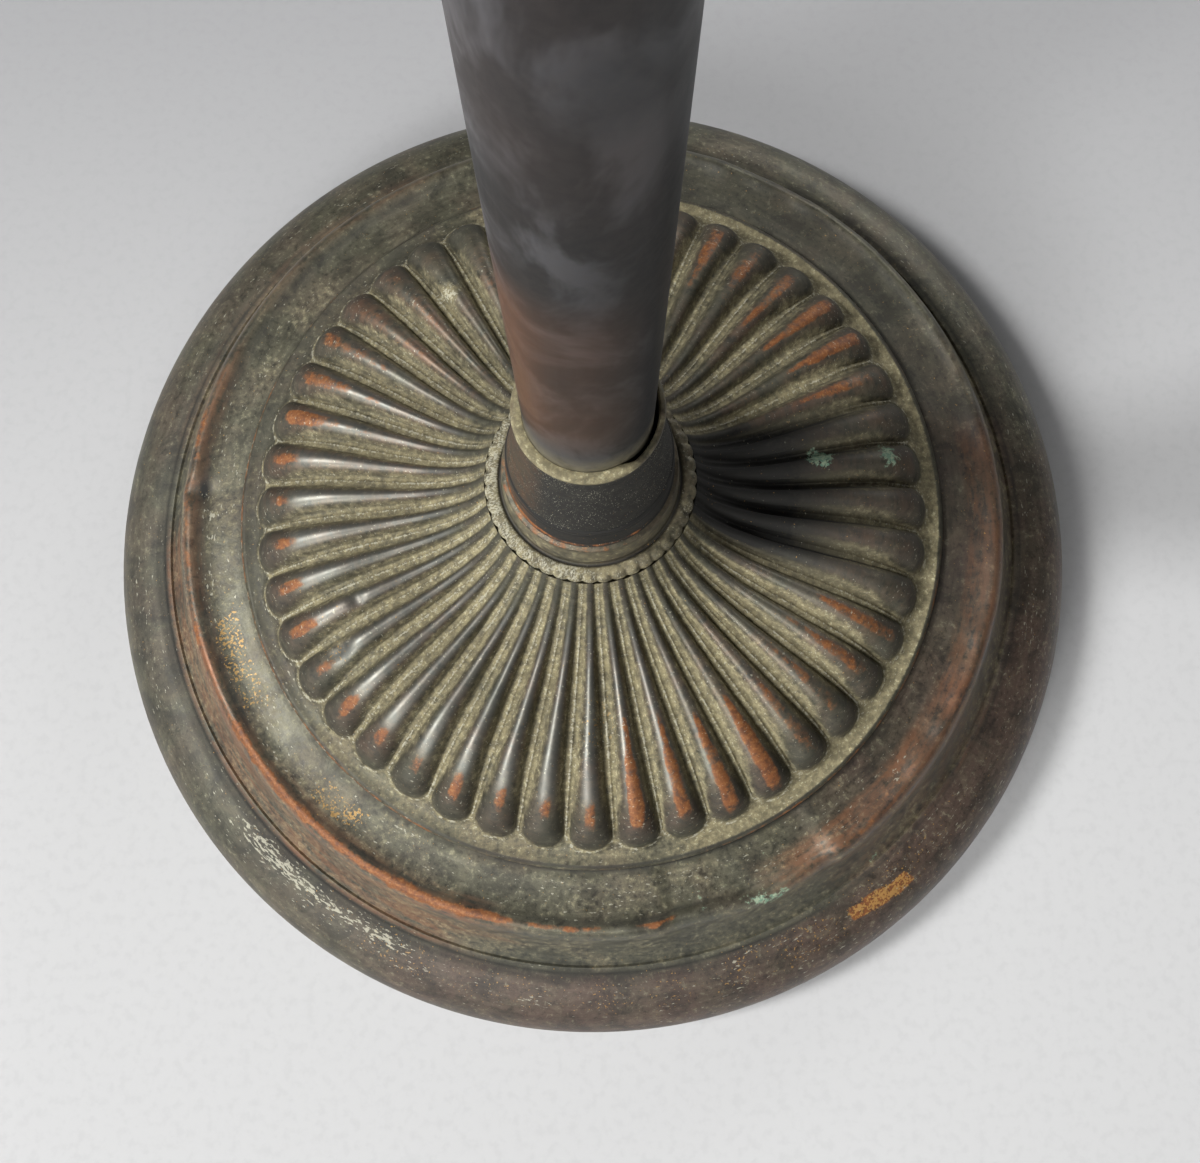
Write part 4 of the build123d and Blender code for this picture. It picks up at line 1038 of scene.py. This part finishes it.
def bent(start, heading, end, count):
    """Points on the arc that leaves start at heading degrees and reaches end, and its heading there."""
    turn = 2 * (math.atan2(end[1] - start[1], end[0] - start[0]) - math.radians(heading))
    radius = math.dist(start, end) / (2 * math.sin(turn / 2))
    along = math.radians(heading)
    centre = (start[0] - radius * math.sin(along), start[1] + radius * math.cos(along))
    angles = [along + turn * i / count for i in range(count + 1)]
    points = [(centre[0] + radius * math.sin(a), centre[1] - radius * math.cos(a)) for a in angles]
    return points, heading + math.degrees(turn)


def bowl_traits(bead_radius, bead, split):
    """Enamel inside, patina outside, with the bead rubbed and a little dust lying in the bottom.

    The rolled rim has its centre at bead_radius and is bead thick; outline points from number split on are enamelled.
    """
    def traits(radius, height, azimuth, place):
        wander = rough(place, 40.0, 91)
        flutter = rough(place, 5.0, 92)
        rim = bell(radius, bead_radius + bead, 1.2)
        inside = np.zeros_like(radius)
        inside[:, split:] = 1.0
        dust = (1 - ramp(radius, 24.0, 120.0)) * inside * (0.30 + 0.25 * flutter)
        return dict(enamel=inside, worn=rim * (0.55 + 0.3 * flutter), dust=dust,
                    russet=(0.14 + 0.16 * wander) * (1 - inside), fleck=0.10 + 0.10 * wander,
                    soot=bell(radius, bead_radius - 3.6, 0.8) * (1 - inside) * 0.7)
    return traits


def enamelled_bronze():
    """Spun bronze with fine turning lines outside, and warm white stove enamel inside."""
    g = Graph("bowl_bronze")
    around = g.noise(0.9, detail=2.0, at=g.wrapped(40.0, 1.0, 1.0))
    clouds = g.noise(38.0, detail=4.0, roughness=0.6, distortion=0.6)
    grain = g.noise(1.6, detail=4.0)
    orange_peel = g.noise(1.2, detail=1.0)
    g.colour = g.mix(g.step(clouds, 0.34, 0.66), srgb(84, 74, 58), srgb(108, 96, 76))
    g.lay(g.step(grain, 0.50, 0.36, 0.0, 0.35), NEAR_BLACK)
    g.lay(g.times(g.attribute("russet"), g.step(clouds, 0.35, 0.6)), RUSSET)
    g.lay(g.attribute("soot"), NEAR_BLACK)
    worn = g.step(g.math("ADD", g.attribute("worn"), g.times(g.math("SUBTRACT", grain, 0.5), 0.8)), 0.42, 0.6)
    g.lay(worn, srgb(176, 104, 62))
    cream = g.mix(g.step(clouds, 0.3, 0.7), srgb(224, 217, 198), srgb(233, 228, 212))
    cream = g.mix(g.times(g.attribute("dust"), g.step(grain, 0.35, 0.65)), cream, srgb(150, 138, 112))
    chipped = g.step(g.math("ADD", g.attribute("worn"), g.times(g.math("SUBTRACT", grain, 0.5), 1.4)), 0.55, 0.6)
    enamel = g.math("MULTIPLY", g.attribute("enamel"), g.math("SUBTRACT", 1.0, chipped), clamp=True)
    g.lay(enamel, cream)
    metallic = g.blend(enamel, 0.75, 0.0)
    bare_dull = g.step(clouds, 0.3, 0.7, 0.30, 0.44)
    dull = g.math("ADD", g.times(bare_dull, g.math("SUBTRACT", 1.0, enamel)), g.times(enamel, 0.28))
    relief = g.math("ADD", g.times(around, g.math("SUBTRACT", 1.0, enamel)), g.times(orange_peel, enamel))
    return g.finish(metallic=metallic, roughness=dull, normal=g.bump(relief, 0.05))


def make_bowl():
    """Shallow spun bowl, two arcs that flow into each other, with its rim rolled outwards round a bead."""
    low, high = (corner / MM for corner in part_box("bowl"))
    foot, bead = low.z, 2.8
    rim = (high.x - bead - 1.4, high.z - bead + 0.6)
    centre = (rim[0] + 1.4, rim[1] - 0.6)
    knee = (152.0, foot + 86.0)
    lower, heading = bent((32.0, foot), 0.0, knee, 44)
    upper, _ = bent(knee, heading, rim, 30)
    outer = dense([(PIPE_BORE, foot), (32.0, foot)], 4.0)[:-1] + lower[:-1] + upper
    sheet = thickened(outer, 1.0)
    outside = [p for p in sheet[:len(outer)] if p[0] < rim[0] - 1.9]
    inside = [p for p in sheet[len(outer):] if p[0] < rim[0] - 1.9]
    rolled = arc(centre, bead, -148, 158, 26)
    split = len(outside) + len(rolled) - 3
    traits = bowl_traits(centre[0], bead, split)
    bowl = lathe("uplight_bowl", outside + rolled + inside, 256, None, traits, sharp=60.0)
    settle(bowl, enamelled_bronze(), "bowl_bronze", "bowl")


make_switch_cup()
make_fitter()
make_bowl()


# ---------------------------------------------------------------- plain finishes for small and inner pieces
def simple(name, colours, size_mm, metallic=0.0, roughness=(0.35, 0.55), relief=0.03, stretch=None, coat=None):
    """Two-tone finish with fine relief; stretch draws its grain out along the axes."""
    g = Graph(name)
    at = g.scaled(*stretch) if stretch else None
    coarse = g.noise(size_mm * 6.0, detail=3.0, at=at)
    fine = g.noise(size_mm, detail=4.0, roughness=0.6, at=at)
    g.colour = g.mix(g.step(coarse, 0.32, 0.68), srgb(*colours[0]), srgb(*colours[1]))
    g.lay(g.step(fine, 0.46, 0.30, 0.0, 0.35), srgb(*(c * 0.55 for c in colours[0])))
    dull = g.step(fine, 0.3, 0.7, *roughness)
    return g.finish(metallic=metallic, roughness=dull, normal=g.bump(fine, relief), coat=coat)


def felt():
    """Matted green wool with short stray fibres."""
    g = Graph("pad_felt")
    fibres = g.noise(0.5, detail=3.0, distortion=3.0)
    tufts = g.noise(3.0, detail=3.0, distortion=1.0)
    g.colour = g.mix(g.step(fibres, 0.35, 0.65), srgb(34, 60, 42), srgb(62, 92, 66))
    g.lay(g.step(tufts, 0.5, 0.7, 0.0, 0.5), srgb(50, 66, 50))
    return g.finish(roughness=0.95, normal=g.bump(g.math("ADD", fibres, tufts), 0.25), sheen=0.4)


def frosted_glass():
    """Clear bulb glass with a faint haze and a few specks of dust."""
    g = Graph("bulb_glass")
    haze = g.noise(9.0, detail=3.0)
    specks = g.noise(0.9, detail=2.0)
    g.colour = g.mix(g.step(haze, 0.3, 0.7), (0.93, 0.94, 0.93), (0.98, 0.98, 0.96))
    dull = g.math("ADD", g.step(haze, 0.3, 0.7, 0.02, 0.09), g.step(specks, 0.70, 0.78, 0.0, 0.25))
    return g.finish(roughness=dull, normal=g.bump(haze, 0.02), transmission=1.0, ior=1.45)


PLAIN = {                              # two screen colours, grain size, metallic, roughness, relief, stretch, coat
    "weight_iron": (((52, 50, 48), (70, 64, 58)), 1.4, 0.35, (0.62, 0.85), 0.35),
    "hardware_steel": (((146, 146, 142), (170, 168, 162)), 0.8, 0.9, (0.34, 0.55), 0.03, (1.0, 1.0, 0.3)),
    "bush_brass": (((168, 132, 74), (186, 150, 92)), 0.8, 0.9, (0.30, 0.5), 0.03),
    "bushing_black": (((26, 26, 27), (36, 36, 36)), 0.6, 0.0, (0.42, 0.62), 0.03),
    "switch_brown": (((44, 24, 16), (64, 34, 22)), 1.2, 0.0, (0.18, 0.30), 0.015, None, 0.3),
    "socket_brass": (((176, 138, 78), (194, 158, 98)), 1.0, 0.9, (0.24, 0.40), 0.02, (1.0, 1.0, 4.0)),
    "liner_fibre": (((124, 92, 62), (146, 112, 80)), 0.7, 0.0, (0.70, 0.90), 0.08, (1.0, 1.0, 0.3)),
    "socket_porcelain": (((222, 219, 208), (234, 232, 224)), 0.8, 0.0, (0.32, 0.5), 0.04),
    "bulb_metal": (((182, 182, 178), (202, 202, 198)), 0.6, 0.95, (0.28, 0.45), 0.02),
    "bulb_black": (((20, 20, 24), (32, 32, 38)), 0.6, 0.0, (0.10, 0.22), 0.02),
    "bulb_solder": (((150, 150, 148), (176, 176, 172)), 0.6, 0.85, (0.35, 0.6), 0.06),
    "filament_wire": (((60, 60, 62), (84, 84, 86)), 0.3, 0.9, (0.4, 0.6), 0.01),
}
finish_of = {"pad_felt": felt(), "bulb_glass": frosted_glass()}
finish_of.update((name, simple(name, *look)) for name, look in PLAIN.items())
slot_of = {part["node"]: part["material_slot"] for part in frame["record"]["subparts"]}


def make_socket_shell():
    """Spun brass shell with two rolled beads and a turned-out lip."""
    low, high = (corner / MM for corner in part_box("socket_shell"))
    foot, top, wall = low.z, high.z, 0.8
    skin = high.x - 0.7
    line = [(skin, foot)] + dense([(skin, foot + 0.4), (skin, foot + 8.0)], 2.0)
    line += arc((skin - 0.3, foot + 10.0), 0.85, -60, 60, 7) + dense([(skin, foot + 12.0), (skin, foot + 26.0)], 2.5)
    line += arc((skin - 0.3, foot + 28.0), 0.85, -60, 60, 7) + dense([(skin, foot + 30.0), (skin, top - 2.6)], 2.5)
    line += arc((skin - 0.15, top - 1.1), 0.85, -60, 90, 9) + [(skin - wall, top), (skin - wall, foot)]
    shell = lathe("socket_brass_shell", line, 160, sharp=50.0)
    settle(shell, finish_of["socket_brass"], "socket_brass", "socket_shell")


THREAD_PITCH = 3.63


def make_bulb_cap():
    """Rolled screw thread, one helix from the insulator to the top of the cap."""
    low, high = (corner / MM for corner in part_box("bulb_cap"))
    foot, top, skin = low.z, high.z, high.x
    wall = [(skin - 0.35, z) for z in np.arange(foot + 3.4, top - 0.6, 0.3)]
    line = [(9.4, foot), (9.6, foot + 0.1), (skin - 0.8, foot + 3.0)] + wall
    line += [(skin - 0.3, top), (skin - 0.9, top)] + [(r - 0.6, z) for r, z in wall[::-1]] + [(9.3, foot + 0.5)]

    def thread(radius, height, azimuth):
        turns = (height - foot) / THREAD_PITCH - azimuth / 360.0
        fade = ramp(height, foot + 2.8, foot + 6.0) * (1 - ramp(height, top - 2.6, top - 0.8))
        return radius + 0.33 * np.cos(2 * math.pi * turns) * fade, height

    cap = lathe("bulb_screw_cap", line, 144, thread, sharp=60.0)
    settle(cap, finish_of["bulb_metal"], "bulb_metal", "bulb_cap", body="bulb")


def make_bulb_glass():
    """Pear-shaped envelope with an even wall."""
    low, high = (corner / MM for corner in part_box("bulb_glass"))
    foot, top, ball = low.z, high.z, high.x
    centre = top - ball
    line = dense([(12.4, foot), (12.4, foot + 16.0)], 3.0)[:-1]
    line += flowing([(12.4, foot + 16.0), (13.6, foot + 26.0), (20.6, foot + 44.0), (27.6, foot + 56.0)], 30)
    line = [p for p in line if p[1] < centre - 9.5]
    line += arc((0.0, centre), ball, -17, 90, 40)
    wall = [(max(r - 0.8 * (z < top - 1.0), 0.0), z - 0.75 * ramp(z, centre, top)) for r, z in line[::-1]]
    line[-1] = (0.0, top)
    wall[0] = (0.0, top - 0.8)
    glass = lathe("bulb_envelope", line + wall, 128, sharp=60.0)
    settle(glass, finish_of["bulb_glass"], "bulb_glass", "bulb_glass", body="bulb")


def make_filament():
    """Coiled tungsten wire strung between the two support wires."""
    low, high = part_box("bulb_filament")
    span, middle, coil, wire = high.x - low.x, (low.z + high.z) / 2, 0.00034, 0.00013
    turns, steps = 44, 9
    curve = bpy.data.curves.new("filament_path", "CURVE")
    curve.dimensions = "3D"
    curve.bevel_depth = wire
    curve.bevel_resolution = 1
    spline = curve.splines.new("POLY")
    spline.points.add(turns * steps)
    for i, point in enumerate(spline.points):
        share = i / (turns * steps)
        angle = 2 * math.pi * i / steps
        point.co = (low.x + span * share, coil * math.cos(angle), middle + coil * math.sin(angle), 1.0)
    path = bpy.data.objects.new("filament_path", curve)
    mesh = bpy.data.meshes.new_from_object(path)
    bpy.data.objects.remove(path)
    mesh.shade_smooth()
    coil_piece = bpy.data.objects.new("coiled_filament", mesh)
    bpy.context.collection.objects.link(coil_piece)
    settle(coil_piece, finish_of["filament_wire"], "filament_wire", "bulb_filament", body="bulb")


make_socket_shell()
make_bulb_cap()
make_bulb_glass()
make_filament()

for name, node in nodes.items():
    if name not in replaced_nodes:
        node.data.materials.clear()
        node.data.materials.append(finish_of[slot_of[name]])
